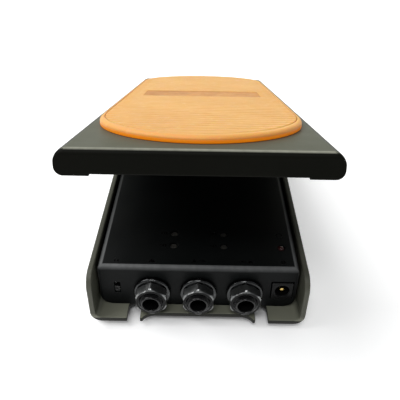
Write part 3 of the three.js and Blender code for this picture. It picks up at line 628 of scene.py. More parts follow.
def lip_gap():
    """Outline of the gap between the two lips, whose tips are rounded."""
    bottom, top = PLATE_LOW.z, PLATE_LOW.z + PLATE_SHEET
    x = PLATE_HIGH.x - LIP_WIDTH + TIP_EDGE
    side = [
        (x, bottom - 1), *arc(x, bottom + TIP_EDGE, TIP_EDGE, -90 * DEGREE, -180 * DEGREE),
        *arc(x, top - TIP_EDGE, TIP_EDGE, 180 * DEGREE, 90 * DEGREE), (x, top + 0.5),
    ]
    return [*side, *((-a, b) for a, b in reversed(side))]


def end_gap(end, inwards):
    """What is cut from below an end wall, which leaves its lower edge rounded."""
    bottom = PLATE_LOW.z
    edge, inner = end + inwards * TIP_EDGE, end + inwards * (PLATE_SHEET - TIP_EDGE)
    level = bottom + END_RISE + TIP_EDGE
    outline = [
        (end - inwards, bottom - 1), (end - inwards, level), (end, level),
        *arc(edge, level, TIP_EDGE, (90 + inwards * 90) * DEGREE, 270 * DEGREE),
        *arc(inner, level, TIP_EDGE, 270 * DEGREE, (270 + inwards * 90) * DEGREE),
        (end + inwards * (PLATE_SHEET + 1), level), (end + inwards * (PLATE_SHEET + 1), bottom - 1),
    ]
    half = PLATE_HIGH.x - LIP_WIDTH
    return prism("X", -half, half, outline)


def treadle_plate():
    """A shallow pan: a rounded box, hollowed to the sheet and opened below between two lips."""
    toe, heel, sheet = PLATE_LOW.y, PLATE_HIGH.y, PLATE_SHEET
    outside = soft_prism("Y", toe, heel, lambda d: plate_section(0.15 * d, 0.2 * d, d), END_BEND, 6)
    hollow = soft_prism("Y", toe + sheet, heel - sheet,
                        lambda d: plate_section(sheet + d, sheet + d, sheet + d), 0.4, 2)
    mouth = prism("Y", toe + sheet, heel - sheet, lip_gap())
    top, middle, half = PLATE_HIGH.z, (toe + heel) / 2, (heel - toe) / 2
    rivets = [extent(f"plate_rivet_{name}", treadle=True) for name in CORNERS]
    holes = [rod("Z", top - 4, top + 1, (low.x + high.x) / 2, (low.y + high.y) / 2,
                 (high.x - low.x) / 2 + 0.2, 24) for low, high in rivets]
    form = cut(outside, hollow, mouth, end_gap(toe, 1), end_gap(heel, -1), *holes)
    # Painted light: the top face is marked for a lighter olive.
    marked(form, "lit", lambda co: 1 - (top - co.z) / 0.6)
    # Painted highlight: marked along the top of both end bends.
    marked(form, "painted_highlight", lambda co: 0.03 < top - co.z < 0.4 and abs(co.y - middle) > half - HIGHLIGHT_STRIP)
    refined("treadle_plate", form, sharp=30, look=LOOKS["shaded_treadle_paint"])


SHOULDER = {"width": 2.2, "height": 1.5, "steps": 8}        # the pad's rounded shoulder
SIDE_BORDER = 2.0         # from the pad's edge to the ribbed field, at the sides
TIP_BORDER = 4.6          # and at both tips
GROOVE = 0.4              # half the width of a groove
GROOVE_DEPTH = 0.6
GROOVE_SHAPE = [(-1, 0), (-0.5, 0.75), (0, 1), (0.5, 0.75), (1, 0)]     # place, share of the depth
RIB_PITCH = 4.7
CROWN = 0.07              # the ribs bulge this much between the grooves
PANEL = {"half": 32.8, "toe": -16.0, "heel": 7.2, "depth": 0.25, "step": 0.2}
TIP_ROWS = (0.05, 0.2, 0.5, 1.0, 1.7, 2.6)      # close rows where the field narrows at a tip


def pad_rows(toe, heel):
    """Rows along the ribbed field as (place, groove share), from the toe to the heel."""
    count = round((heel - toe) / RIB_PITCH)
    grooves = [toe + (heel - toe) * i / count for i in range(1, count)]
    rows = [(toe, 0), (heel, 0), *((toe + d, 0) for d in TIP_ROWS), *((heel - d, 0) for d in TIP_ROWS)]
    for groove in grooves:
        rows += [(groove + GROOVE * place, share) for place, share in GROOVE_SHAPE]
    rows += [((a + b) / 2, -CROWN / GROOVE_DEPTH) for a, b in zip(grooves, grooves[1:])]
    for edge in (PANEL["toe"], PANEL["heel"]):
        rows = [row for row in rows if abs(row[0] - edge) > 1.5 * PANEL["step"]]
        rows += [(edge - PANEL["step"], 0), (edge + PANEL["step"], 0)]
    return sorted(rows)


def treadle_pad():
    """A stadium of ribbed rubber with a border groove, a rounded shoulder and a plain panel."""
    low, high = extent("treadle_pad", treadle=True)
    radius, bottom, top = high.x, low.z, high.z - CROWN
    toe_centre, heel_centre = low.y + radius, high.y - radius
    field = radius - SIDE_BORDER
    toe, heel = low.y + TIP_BORDER, high.y - TIP_BORDER
    edge = PANEL["half"] / field
    across = [-1, -0.95, -0.88, -edge - 0.006, -edge + 0.006, -0.6, -0.4, -0.2]
    across = [*across, 0, *(-x for x in reversed(across))]

    def half_width(y):
        beyond = max(toe + field - y, y - (heel - field), 0)
        return math.sqrt(max(field ** 2 - beyond ** 2, 0.01))

    def on_panel(x, y):
        return abs(x) < PANEL["half"] and PANEL["toe"] < y < PANEL["heel"]

    form = bmesh.new()
    # Attributes for the material: painted shade in the grooves, painted glow on the sides.
    groove_shade_share = form.verts.layers.float.new("groove")
    rim_glow_share = form.verts.layers.float.new("rim")

    def vertex(x, y, z, groove=0.0, rim=0.0):
        made = form.verts.new((x, y, z))
        made[groove_shade_share] = groove
        made[rim_glow_share] = rim
        return made

    rows = []
    for y, share in pad_rows(toe, heel):
        row = []
        for part in across:
            x = half_width(y) * part
            fade = share * (abs(part) < 1)
            depth = PANEL["depth"] if on_panel(x, y) else GROOVE_DEPTH * fade
            row.append(vertex(x, y, top - depth, 0 if on_panel(x, y) else max(fade, 0)))
        rows.append(row)
    for near, far in zip(rows, rows[1:]):
        for i in range(len(across) - 1):
            face = form.faces.new((near[i], near[i + 1], far[i + 1], far[i]))
            middle = face.calc_center_median()
            face.material_index = int(on_panel(middle.x, middle.y))

    # Outside the ribbed field, rings follow the outline: border groove, shoulder, side and underside.
    inner = rows[0] + [row[-1] for row in rows[1:-1]] + rows[-1][::-1]
    inner += [row[0] for row in rows[-2:0:-1]]

    def outer_point(spot):
        if toe + field < spot.y < heel - field:
            return Vector((math.copysign(radius, spot.x), spot.y, 0))
        at_toe = spot.y <= toe + field
        own, whole = (toe + field, toe_centre) if at_toe else (heel - field, heel_centre)
        away = Vector((spot.x, spot.y - own, 0)).normalized()
        return Vector((0, whole, 0)) + away * radius

    starts = [Vector((v.co.x, v.co.y, 0)) for v in inner]
    ends = [outer_point(start) for start in starts]
    previous = inner
    size = len(inner)

    def add_ring(place, z, groove=0.0, rim=0.0):
        nonlocal previous
        ring = []
        for start, end in zip(starts, ends):
            spot = place(start, end)
            ring.append(vertex(spot.x, spot.y, z, groove, rim))
        for i in range(size):
            j = (i + 1) % size
            form.faces.new((previous[i], previous[j], ring[j], ring[i]))
        previous = ring

    for place, share in GROOVE_SHAPE[1:]:
        out = GROOVE * (place + 1)
        add_ring(lambda start, end: start + (end - start).normalized() * out,
                 top - GROOVE_DEPTH * share, 0.7 * share)
    width, height, steps = SHOULDER["width"], SHOULDER["height"], SHOULDER["steps"]
    for i in range(steps + 1):
        turn = i / steps * math.pi / 2
        back = width * (1 - math.sin(turn))

        def on_shoulder(start, end):
            room = (end - start).length - 2 * GROOVE - 0.1
            return end + (start - end).normalized() * back * min(1, room / width)

        add_ring(on_shoulder, top - height * (1 - math.cos(turn)), 0, 0.2 * i / steps)
    side = [(0, top - height - 0.3, 0.85), (0, bottom + 0.35, 1), (0.1, bottom + 0.1, 1),
            (0.35, bottom, 1)]
    for back, z, rim in side:
        add_ring(lambda start, end: end + (start - end).normalized() * back, z, 0, rim)
    form.faces.new(previous)
    bmesh.ops.recalc_face_normals(form, faces=form.faces)
    thing = refined("treadle_pad", form, sharp=60, flats=False)
    thing.data.materials.append(amber_panel())


def bumpers():
    for name in CORNERS:
        low, high = extent(f"bumper_{name}", treadle=True)
        refined(f"bumper_{name}", soft_block("Z", low, high, 1.2, 0.6))


# ---------------------------------------------------------------- base

BASE_BEND = 5.0
WALL_INSIDE = BASE_HIGH.x - BASE_SHEET
WALL = {"front_height": 27.6, "corner": 7.0, "peak": 20.0, "clearance": 0.3}
RISE = 4.4 * DEGREE             # slope of the wall tops and of the box top
EAR_RADIUS = 8.0
AXLE_HOLE = 4.2
TONGUE = {"set_back": 3.4, "curve": 6.0, "tip": 25.0, "sweep": (25 * DEGREE, 90 * DEGREE)}
NOTCH = {"inside": 25.4, "outside": 31.0, "depth": 10.3}
BOX_SCREWS = ("box_screw_left", "box_screw_right")
POT_SCREWS = ("pot_bracket_screw_toe", "pot_bracket_screw_heel")
SCREW_HOLE = 1.7


def wall_outline():
    """Side view of the walls: a rising toe part, and a heel part parallel to the resting treadle."""
    toe, heel, corner = BASE_LOW.y, BASE_HIGH.y, WALL["corner"]
    bumper_low, _ = extent("bumper_heel_left", treadle=True)
    level = bumper_low.z - WALL["clearance"]

    def heel_line(y):
        return AXLE.z + (level - y * math.sin(TILT)) / math.cos(TILT)

    def toe_line(y):
        return WALL["front_height"] + (y - toe) * math.tan(RISE)

    peak = (heel_line(0) - toe_line(0)) / (math.tan(RISE) + math.tan(TILT))
    return rounded([
        (toe, 0), (heel, 0), (heel, heel_line(heel), corner), (peak, toe_line(peak), WALL["peak"]),
        (toe, toe_line(toe), corner),
    ])


def front_cut(side):
    """A round-ended notch beside the foot, and the set-back edge of the tongue between its two tips."""
    toe, before = BASE_LOW.y, BASE_LOW.y - 5
    width = NOTCH["outside"] - NOTCH["inside"]
    slot = rectangle(side * NOTCH["inside"], side * NOTCH["outside"], before, toe + NOTCH["depth"],
                     width / 2 - 0.001)
    tip, curve = TONGUE["tip"], TONGUE["curve"]
    drop = TONGUE["set_back"] - curve
    edge = [(0, before), (tip, before), (tip, toe)]
    edge += arc(tip - curve, toe + drop, curve, *TONGUE["sweep"])
    edge += [(0, toe + TONGUE["set_back"])]
    top = FLOOR + 2
    return [prism("Z", 0, top, slot), prism("Z", 0, top, [(side * x, y) for x, y in edge])]


def screw_holes(nodes, top):
    """Cutters for the screws that come up from under the base."""
    spots = [node_centre(node) for node in nodes]
    return [rod("Z", 0, top, spot.x, spot.y, SCREW_HOLE, 24) for spot in spots]


def base_chassis():
    half, inside, low = BASE_HIGH.x, WALL_INSIDE, BASE_LOW.z
    top, inner_bend = AXLE.z + EAR_RADIUS, BASE_BEND - BASE_SHEET
    section = rounded([
        (-half, top), (-half, low, BASE_BEND), (half, low, BASE_BEND), (half, top),
        (inside, top), (inside, FLOOR, inner_bend), (-inside, FLOOR, inner_bend), (-inside, top),
    ])
    channel = prism("Y", BASE_LOW.y, BASE_HIGH.y, section)
    ends = half + 1
    ear = [*arc(0, AXLE.z, EAR_RADIUS, 0, math.pi), (-EAR_RADIUS, 0), (EAR_RADIUS, 0)]
    walls = join(prism("X", -ends, ends, wall_outline()), prism("X", -ends, ends, ear))
    form = cut(meet(channel, walls), rod("X", -ends, ends, 0, AXLE.z, AXLE_HOLE),
               *front_cut(-1), *front_cut(1), *screw_holes(BOX_SCREWS + POT_SCREWS, FLOOR + 2))
    refined("base_chassis", form, bevel=0.5)


def feet():
    """Rubber discs with a rim that stands on the floor around a shallow hollow."""
    for name in CORNERS:
        node = f"rubber_foot_{name}"
        low, high = extent(node)
        middle, radius = node_centre(node), (high.x - low.x) / 2
        profile = [
            (0, 0.5), (radius - 2.2, 0.5), (radius - 1.7, 0.2), (radius - 1.3, 0), (radius - 0.7, 0),
            (radius - 0.2, 0.25), (radius, 0.8), (radius - 0.15, high.z - 0.3), (radius - 0.3, high.z),
            (0, high.z),
        ]
        refined(node, turned("Z", middle.x, middle.y, profile))


def base_screws():
    """Pan heads with a cross recess, under the base."""
    shank, head_height, recess = 1.4, 1.7, (1.5, 0.28)
    for node in BOX_SCREWS + POT_SCREWS:
        low, high = extent(node)
        spot, radius = node_centre(node), (high.x - low.x) / 2
        head = turned("Z", spot.x, spot.y, [
            (0, low.z), (radius * 0.55, low.z), (radius * 0.85, low.z + 0.25), (radius, low.z + 0.8),
            (radius, low.z + head_height), (shank, low.z + head_height), (shank, high.z - 0.3),
            (shank - 0.3, high.z), (0, high.z),
        ], 32)
        slots = [block(spot.x - a, spot.x + a, spot.y - b, spot.y + b, low.z - 1, low.z + 0.9)
                 for a, b in (recess, recess[::-1])]
        refined(node, cut(head, *slots), sharp=40)


def axle():
    """A rod with a domed head outside one wall, and the cap pressed on it outside the other."""
    low, high = extent("axle_rod")
    radius, head = 4.0, 6.5
    profile = [
        (0, low.x), (head - 1.2, low.x), (head - 0.35, low.x + 0.25), (head, low.x + 0.9),
        (head, -BASE_HIGH.x - 0.25), (radius, -BASE_HIGH.x - 0.2), (radius, high.x - 0.6),
        (radius - 0.6, high.x), (0, high.x),
    ]
    refined("axle_rod", turned("X", 0, AXLE.z, profile))
    low, high = extent("axle_cap")
    outside, inside = high.z - AXLE.z, 4.15
    profile = [
        (inside, low.x), (outside - 0.2, low.x), (outside, low.x + 0.2), (outside, high.x - 0.5),
        (outside - 0.5, high.x), (inside + 0.4, high.x), (inside, high.x - 0.4),
    ]
    refined("axle_cap", ringed("X", 0, AXLE.z, profile))


# ---------------------------------------------------------------- control box

BOX_LOW, BOX_HIGH = extent("control_box")
BOX_SHEET = 1.5
BOX_EDGE = 2.6          # radius of the bends around the top
BOX_FRONT_HEIGHT = 27.3
FRONT_CORNER = 6.0      # radius of the front's lower corners
LOWER_EDGE = 3.2        # and of the lower edges of the sides
UPRIGHT_EDGE = 1.3      # and of the upright corners
FLARE = 0.22            # width of the softened mouth of a hole
WIDE = 60               # further than the box reaches from its middle
TAB = {"inside": 10.5, "outside": 1.2, "half": 6, "corner": 0.8}     # distances in from the side


def box_top(y):
    return BOX_FRONT_HEIGHT + (y - BOX_LOW.y) * math.tan(RISE)


def box_form(wall):
    """The box less a wall thickness: its outside, and the hollow in it."""
    half, edge = BOX_HIGH.x - wall, BOX_EDGE - wall
    toe, heel = BOX_LOW.y + wall, BOX_HIGH.y - wall
    bottom = 0 if wall else BOX_LOW.z
    drop = wall / math.cos(RISE)
    side = rounded([
        (toe, bottom), (heel, bottom), (heel, box_top(heel) - drop, edge),
        (toe, box_top(toe) - drop, edge),
    ])
    middle, spare = (toe + heel) / 2, 9
    section = rounded([(-half, -WIDE), (half, -WIDE), (half, 0, edge), (-half, 0, edge)])
    slab = prism("Y", toe - middle - spare, heel - middle + spare, section)
    slope = Matrix.Translation((0, middle, box_top(middle) - drop)) @ Matrix.Rotation(RISE, 4, "X")
    plan = block(-half, half, toe, heel, -1, WIDE, 0 if wall else UPRIGHT_EDGE)
    return meet(prism("X", -half, half, side), placed(slab, slope), plan)


def flared(axis, start, outline, face, outwards):
    """A hole cutter along an axis whose mouth at a face is opened out; outline(d) is d wider."""
    rings = [(start, 0), (face - outwards * FLARE, 0), (face - outwards * FLARE * 0.3, FLARE * 0.3),
             (face, FLARE), (face + outwards, FLARE)]
    return loft([[AXES[axis](along, a, b) for a, b in outline(wider)] for along, wider in rings])


def top_hole(spot, radius):
    """A hole for a rotor or a lamp through the box top, opened out at the top face."""
    top = box_top(spot.y)
    return flared("Z", top - 4, lambda d: circle(spot.x, spot.y, radius + d, 40), top, 1)


def front_hole(x0, x1, z0, z1, corner):
    """A rectangular hole through the box front, opened out at the front face."""
    toe = BOX_LOW.y

    def outline(d):
        return rectangle(x0 - d, x1 + d, z0 - d, z1 + d, corner + d)

    return flared("Y", toe + 3, outline, toe, -1)


def lower_edge(side, radius, start, end):
    """What a rounded lower edge takes off one side."""
    centre = BOX_HIGH.x - radius
    strip = prism("Y", start, end, rectangle(
        side * centre, side * (centre + radius + 1), BOX_LOW.z - 1, BOX_LOW.z + radius))
    return cut(strip, rod("Y", start - 1, end + 1, side * centre, BOX_LOW.z + radius, radius, 96))


JACK_SPOTS = {name: node_centre(f"jack_nut_{name}") for name in JACKS}
POWER_LOW, POWER_HIGH = extent("power_socket")
SWITCH_LOW, SWITCH_HIGH = extent("switch_body")
SWITCH_X = (SWITCH_LOW.x + SWITCH_HIGH.x) / 2
SWITCH_SLOT = {"half": 1.3, "bottom": 12.4, "top": 18.4, "corner": 0.25}
TRIMMER_SPOTS = {name: node_centre(f"trimmer_rotor_{name}") for name in CORNERS}
TRIMMER_HOLE = 1.9
LAMP = node_centre("status_lamp")
LAMP_HOLE = 1.75
BUSH_HOLE = 5.4           # for a socket's bush, through the box front and the washer
THREAD = {"radius": 4.8, "root": 4.5, "pitch": 0.75}
LIP_RADIUS = 4.3          # the socket's rolled rim
BORE_RADIUS = 3.4


def control_box():
    toe, heel, half = BOX_LOW.y, BOX_HIGH.y, BOX_HIGH.x
    front = (toe - 2, toe + 3)
    shell = cut(box_form(0), box_form(BOX_SHEET))
    edges = [form for side in (-1, 1) for form in (
        lower_edge(side, FRONT_CORNER, *front), lower_edge(side, LOWER_EDGE, toe - 2, heel + 2))]
    gap, slot = 0.3, SWITCH_SLOT
    openings = [
        *(rod("Y", *front, spot.x, spot.z, BUSH_HOLE) for spot in JACK_SPOTS.values()),
        front_hole(POWER_LOW.x - gap, POWER_HIGH.x + gap, POWER_LOW.z - gap, POWER_HIGH.z + gap, 0.4),
        front_hole(SWITCH_X - slot["half"], SWITCH_X + slot["half"], slot["bottom"], slot["top"],
                   slot["corner"]),
        *(top_hole(spot, TRIMMER_HOLE) for spot in TRIMMER_SPOTS.values()),
        top_hole(LAMP, LAMP_HOLE),
    ]
    tabs = []
    for side, screw in zip((-1, 1), BOX_SCREWS):
        y = node_centre(screw).y
        tabs.append(block(side * (half - TAB["inside"]), side * (half - TAB["outside"]),
                          y - TAB["half"], y + TAB["half"],
                          BOX_LOW.z, BOX_LOW.z + BOX_SHEET, TAB["corner"]))
    cable_low, cable_high = extent("pot_cable")
    doorway = block(cable_low.x - 2, cable_high.x + 2, heel - 4, heel + 2, 0, BOX_LOW.z + 4)
    form = cut(join(cut(shell, *edges), *tabs), *openings, doorway, *screw_holes(BOX_SCREWS, 12))

    def front_highlight(co):
        """Painted highlight along the bend between the top and the front, fading out downwards."""
        depth = box_top(co.y) - co.z
        return (co.y < toe + BOX_EDGE and depth > 0.02) * (1.15 - depth / 1.7)

    marked(form, "painted_highlight", front_highlight)
    refined("control_box", form, sharp=15)


def jack_socket(name, x, z):
    """A threaded bush with a rolled rim on a moulded case, with the bore left open."""
    node = f"jack_socket_{name}"
    low, high = extent(node)
    case_front, thread_start = BOX_LOW.y + BOX_SHEET + 0.3, low.y + 1.0
    case = prism("Y", case_front, high.y, rectangle(low.x, high.x, low.z, high.z, 0.5))
    radius, root, pitch = THREAD["radius"], THREAD["root"], THREAD["pitch"]
    lip, hole = LIP_RADIUS, BORE_RADIUS
    profile = [(0, low.y), (lip - 0.45, low.y), (lip - 0.2, low.y + 0.08), (lip - 0.05, low.y + 0.25),
               (lip, low.y + 0.5), (lip, low.y + 0.9), (root, thread_start)]
    for turn in range(int((case_front - thread_start - 0.1) / pitch)):
        along = thread_start + 0.1 + turn * pitch
        profile += [(root, along + 0.12), (root, along + 0.3), (radius, along + 0.5),
                    (radius, along + 0.62)]
    profile += [(root, case_front), (root, case_front + 1), (0, case_front + 1)]
    bore = turned("Y", x, z, [
        (0, low.y - 1), (hole + 0.45, low.y - 1), (hole + 0.45, low.y - 0.01),
        (hole + 0.22, low.y + 0.1), (hole + 0.06, low.y + 0.35), (hole + 0.01, low.y + 0.9),
        (hole, high.y - 2), (0, high.y - 2),
    ], 48)
    form = cut(join(turned("Y", x, z, profile, 64), case), bore)
    for face in form.faces:
        face.material_index = int(face.calc_center_median().y < thread_start - 0.05)
    thing = refined(node, form, sharp=32)
    thing.data.materials.append(LOOKS["polished_rim"])


def jack_washer(name, x, z):
    """A thick ring, its outer edge rounded at the front."""
    low, high = extent(f"jack_washer_{name}")
    inside, outside = BUSH_HOLE, (high.x - low.x) / 2
    profile = [
        (inside, high.y), (inside, low.y + 0.1), (inside + 0.1, low.y), (outside - 1.0, low.y),
        (outside - 0.5, low.y + 0.12), (outside - 0.15, low.y + 0.45), (outside, low.y + 0.9),
        (outside, high.y - 0.15), (outside - 0.15, high.y),
    ]
    refined(f"jack_washer_{name}", ringed("Y", x, z, profile, 96), sharp=50)


def jack_nut(name, x, z):
    """A hexagon with a corner up, its corners turned off front and back, and a chamfered hole."""
    low, high = extent(f"jack_nut_{name}")
    corner, hole, sides = (high.z - low.z) / 2, THREAD["radius"] + 0.2, 144
    flat = corner * math.cos(30 * DEGREE)
    # The most that the radius may be, out over the back face, forwards, and in over the front face.
    limits = [
        (hole, high.y - 0.4), (hole + 0.4, high.y), (flat - 0.1, high.y), (corner, high.y - 0.5),
        (corner, low.y + 1.0), (corner - 0.55, low.y + 0.45), (flat - 0.1, low.y + 0.08),
        (flat - 0.4, low.y), (hole + 0.5, low.y), (hole, low.y + 0.5),
    ]
    rings = []
    for limit, along in limits:
        ring = []
        for i in range(sides):
            turn = 2 * math.pi * i / sides
            from_flat = math.remainder(turn, 60 * DEGREE)
            radius = min(limit, flat / math.cos(from_flat), corner - 0.2)
            ring.append((x + radius * math.cos(turn), along, z + radius * math.sin(turn)))
        rings.append(ring)
    form = loft(rings, closed=True)
    form.normal_update()
    # Painted light and shade: front faces get the darker finish, flats and chamfers the brighter one.
    for face in form.faces:
        face.material_index = int(abs(face.normal.y) < 0.95)
    thing = refined(f"jack_nut_{name}", form, sharp=28, look=LOOKS["painted_shade_face"])
    thing.data.materials.append(LOOKS["painted_light_flats"])


def power_socket():
    """A square case with a round well and a pin standing in it."""
    low, high, well = POWER_LOW, POWER_HIGH, 3.0
    pin_low, pin_high = extent("power_pin")
    spot, radius = node_centre("power_pin"), (pin_high.x - pin_low.x) / 2
    bore = turned("Y", spot.x, spot.z, [
        (0, low.y - 1), (well + 0.35, low.y - 1), (well + 0.35, low.y - 0.01), (well, low.y + 0.35),
        (well, high.y - 3), (0, high.y - 3),
    ], 48)
    refined("power_socket", cut(soft_block("Y", low, high, 0.6, 0.25), bore))
    pin = [(0, pin_low.y), (0.45, pin_low.y + 0.04), (0.8, pin_low.y + 0.2),
           (radius, pin_low.y + 0.55), (radius, pin_high.y), (0, pin_high.y)]
    refined("power_pin", turned("Y", spot.x, spot.z, pin, 32))


def switch():
    """A case with a window in its front, and a slider with three ribs behind the slot of the box."""
    front, half = SWITCH_LOW.y, SWITCH_SLOT["half"] + 0.1
    window = block(SWITCH_X - half, SWITCH_X + half, front - 1, front + 2.4,
                   SWITCH_SLOT["bottom"] - 0.4, SWITCH_SLOT["top"] + 0.4)
    refined("switch_body", cut(soft_block("Y", SWITCH_LOW, SWITCH_HIGH, 0.4, 0.2), window))

    low, high = extent("switch_slider")
    ribs = 3
    pitch = (high.z - low.z) / ribs
    outline = [(high.y, low.z), (high.y, high.z)]
    for i in reversed(range(ribs)):
        start = low.z + i * pitch
        outline += [(low.y + 0.25, start + pitch * 0.98), (low.y, start + pitch * 0.8),
                    (low.y, start + pitch * 0.2), (low.y + 0.25, start + pitch * 0.02)]
    refined("switch_slider", prism("X", low.x, high.x, outline), sharp=30)


def trimmers():
    """Small boxes on the board, each with a slotted rotor that comes up into the box top."""
    for name, spot in TRIMMER_SPOTS.items():
        low, high = extent(f"trimmer_rotor_{name}")
        radius = (high.x - low.x) / 2
        profile = [(0, high.z), (radius - 0.3, high.z), (radius - 0.08, high.z - 0.08),
                   (radius, high.z - 0.3), (radius, low.z), (0, low.z)]
        slot = block(spot.x - radius, spot.x + radius, spot.y - 0.3, spot.y + 0.3,
                     high.z - 0.8, high.z + 1)
        rotor = cut(turned("Z", spot.x, spot.y, profile, 32), slot)
        # Painted shade: the white nylon rotor gets a near-black copy of its material.
        refined(f"trimmer_rotor_{name}", rotor, sharp=40, look=LOOKS["shaded_white_nylon"])
        low, high = extent(f"trimmer_body_{name}")
        refined(f"trimmer_body_{name}", soft_block("Z", low, high, 0.5, 0.2))


def status_lamp():
    """A lens with a low dome."""
    low, high = extent("status_lamp")
    radius = (high.x - low.x) / 2
    dome = [(radius * math.cos(a), high.z - radius * 0.8 * (1 - math.sin(a)))
            for a in (90 * DEGREE * i / 10 for i in range(10, -1, -1))]
    refined("status_lamp", turned("Z", LAMP.x, LAMP.y, [*dome, (radius, low.z), (0, low.z)], 40))


def on_box_top(form):
    """A flat form drawn at Z 0 in the object's X and Y, laid on the sloping box top."""
    front = Matrix.Translation((0, BOX_LOW.y, box_top(BOX_LOW.y) + 0.01))
    slope = Matrix.Rotation(RISE, 4, "X")
    return placed(form, front @ slope @ Matrix.Translation((0, -BOX_LOW.y, 0)))


def box_prints():
    """Plain symbols beside the sockets and trimmers, as thin ink on the box top."""
    thin = 0.03
    row = BOX_LOW.y + 4.4
    marks = []

    def bar(x0, x1, y0, y1):
        marks.append(block(x0, x1, y0, y1, 0, thin))

    def triangle(x, y, size):
        corners = [(x - size, y - size * 0.8), (x + size, y - size * 0.8), (x, y + size * 0.9)]
        marks.append(prism("Z", 0, thin, corners))

    left, middle, right = (JACK_SPOTS[name].x for name in JACKS)
    bar(SWITCH_X - 1.1, SWITCH_X - 0.5, row - 1.3, row + 1.4)
    bar(SWITCH_X + 0.3, SWITCH_X + 0.9, row - 1.3, row + 0.2)
    triangle(left, row, 1.4)
    triangle(middle - 2, row, 1.2)
    bar(middle + 0.2, middle + 3, row - 0.3, row + 0.3)
    bar(right - 3, right - 0.2, row - 0.3, row + 0.3)
    triangle(right + 2, row, 1.2)
    marks.append(rod("Z", 0, thin, LAMP.x, row, 1.1, 32))
    marks.append(ringed("Z", LAMP.x, LAMP.y + 8.2, [(1.1, 0), (1.5, 0), (1.5, thin), (1.1, thin)], 32))
    for spot in TRIMMER_SPOTS.values():
        for i in range(3):
            start, half = spot.x - 6.2 + 1.1 * i, 0.4 + 0.25 * i
            bar(start, start + 0.6, spot.y - half, spot.y + half)
    piece("box_prints", on_box_top(merged(marks)), print_ink(), "base", "black_paint", sharp=60)


# ---------------------------------------------------------------- pivot, gears and potentiometer

MODULE = 1.0
PRESSURE_ANGLE = 20 * DEGREE
BACKLASH = 0.35
GEAR_TEETH = 48
PINION_TEETH = 12
GEAR_REACH = (-82, -38)          # degrees about the axle covered by the sector's teeth
GEAR_HUB = 8.0
GEAR_DISH = {"inside": 10.0, "outside": 19.5, "depth": 0.7}     # the recess in each side of the web
GEAR_RIVETS = {"toe": (-4.6, 11.6), "heel": (4.6, 11.6)}        # about the axle
RIVET_HOLE = 1.6
SHAFT = node_centre("pot_shaft")
MESH_ANGLE = math.atan2(SHAFT.z - AXLE.z, SHAFT.y)
SHAFT_HOLE = 3.15
WEB = 17.0                       # underside of the bracket's web, above the axle
BRACKET_SHEET = 2.0
BRACKET_EAR = 9.0
BUSH = {"bore": 4.5, "outside": 5.5, "flange": 7.0, "soft": 0.25}
POT_SHEET = 1.5
POT_BUSH = 3.5


def tooth(teeth, middle, a, b):
    """The edge of one involute tooth about an angle, from root to tip and back."""
    pitch = teeth * MODULE / 2
    base = pitch * math.cos(PRESSURE_ANGLE)
    at_pitch = math.pi / (2 * teeth) - BACKLASH / (2 * pitch)

    def involute(angle):
        return math.tan(angle) - angle

    def half_angle(radius):
        pressure = math.acos(min(1, base / max(radius, base)))
        return at_pitch + involute(PRESSURE_ANGLE) - involute(pressure)

    root, tip, steps = pitch - 1.25 * MODULE, pitch + 0.9 * MODULE, 8
    radii = [root + (tip - root) * i / steps for i in range(steps + 1)]
    edge = [(radius, middle - half_angle(radius)) for radius in radii]
    edge += [(radius, middle + half_angle(radius)) for radius in reversed(radii)]
    return [(a + radius * math.cos(turn), b + radius * math.sin(turn)) for radius, turn in edge]


def sector_gear():
    """A fan of teeth below a hub and a neck, with a recess in each side and two rivet holes."""
    low, high = extent("sector_gear", treadle=True)
    mesh, step = MESH_ANGLE + TILT, 2 * math.pi / GEAR_TEETH
    first, last = (round((reach * DEGREE - MESH_ANGLE) / step) for reach in GEAR_REACH)
    fan = [(-5, 3)]
    for number in range(first, last + 1):
        fan += tooth(GEAR_TEETH, mesh + number * step, 0, 0)
    fan += [(5, 3)]
    neck = [(-GEAR_HUB, high.z), *arc(0, 0, GEAR_HUB, math.pi, 2 * math.pi), (GEAR_HUB, high.z)]
    body = join(prism("X", low.x + 0.2, high.x - 0.2, fan), prism("X", low.x, high.x, neck))
    inside, outside, depth = (GEAR_DISH[key] for key in ("inside", "outside", "depth"))
    dishes = []
    for x0, x1 in ((low.x - 1, low.x + depth), (high.x - depth, high.x + 1)):
        ring = ringed("X", 0, 0, [(inside, x0), (outside, x0), (outside, x1), (inside, x1)])
        below = block(low.x - 2, high.x + 2, -30, 30, -30, 0)
        dishes.append(meet(ring, below))
    ends = (low.x - 1, high.x + 1)
    holes = [rod("X", *ends, y, z, RIVET_HOLE, 24) for y, z in GEAR_RIVETS.values()]
    form = cut(body, *dishes, rod("X", *ends, 0, 0, 4.3), *holes)
    refined("sector_gear", form, bevel=0.1)


def drive_pinion():
    low, high = extent("drive_pinion")
    step = 2 * math.pi / PINION_TEETH
    edge = []
    for number in range(PINION_TEETH):
        edge += tooth(PINION_TEETH, MESH_ANGLE + math.pi + (number + 0.5) * step, SHAFT.y, SHAFT.z)
    hole = rod("X", low.x - 1, high.x + 1, SHAFT.y, SHAFT.z, SHAFT_HOLE)
    refined("drive_pinion", cut(prism("X", low.x, high.x, edge), hole), bevel=0.1)


def pot_shaft():
    """A rod with a screwdriver slot in its end."""
    low, high = extent("pot_shaft")
    radius = (high.y - low.y) / 2
    profile = [(0, low.x), (radius - 0.5, low.x), (radius, low.x + 0.5), (radius, high.x), (0, high.x)]
    slot = block(low.x - 1, low.x + 0.7, SHAFT.y - 0.4, SHAFT.y + 0.4, SHAFT.z - 4, SHAFT.z + 4)
    refined("pot_shaft", cut(turned("X", SHAFT.y, SHAFT.z, profile), slot))


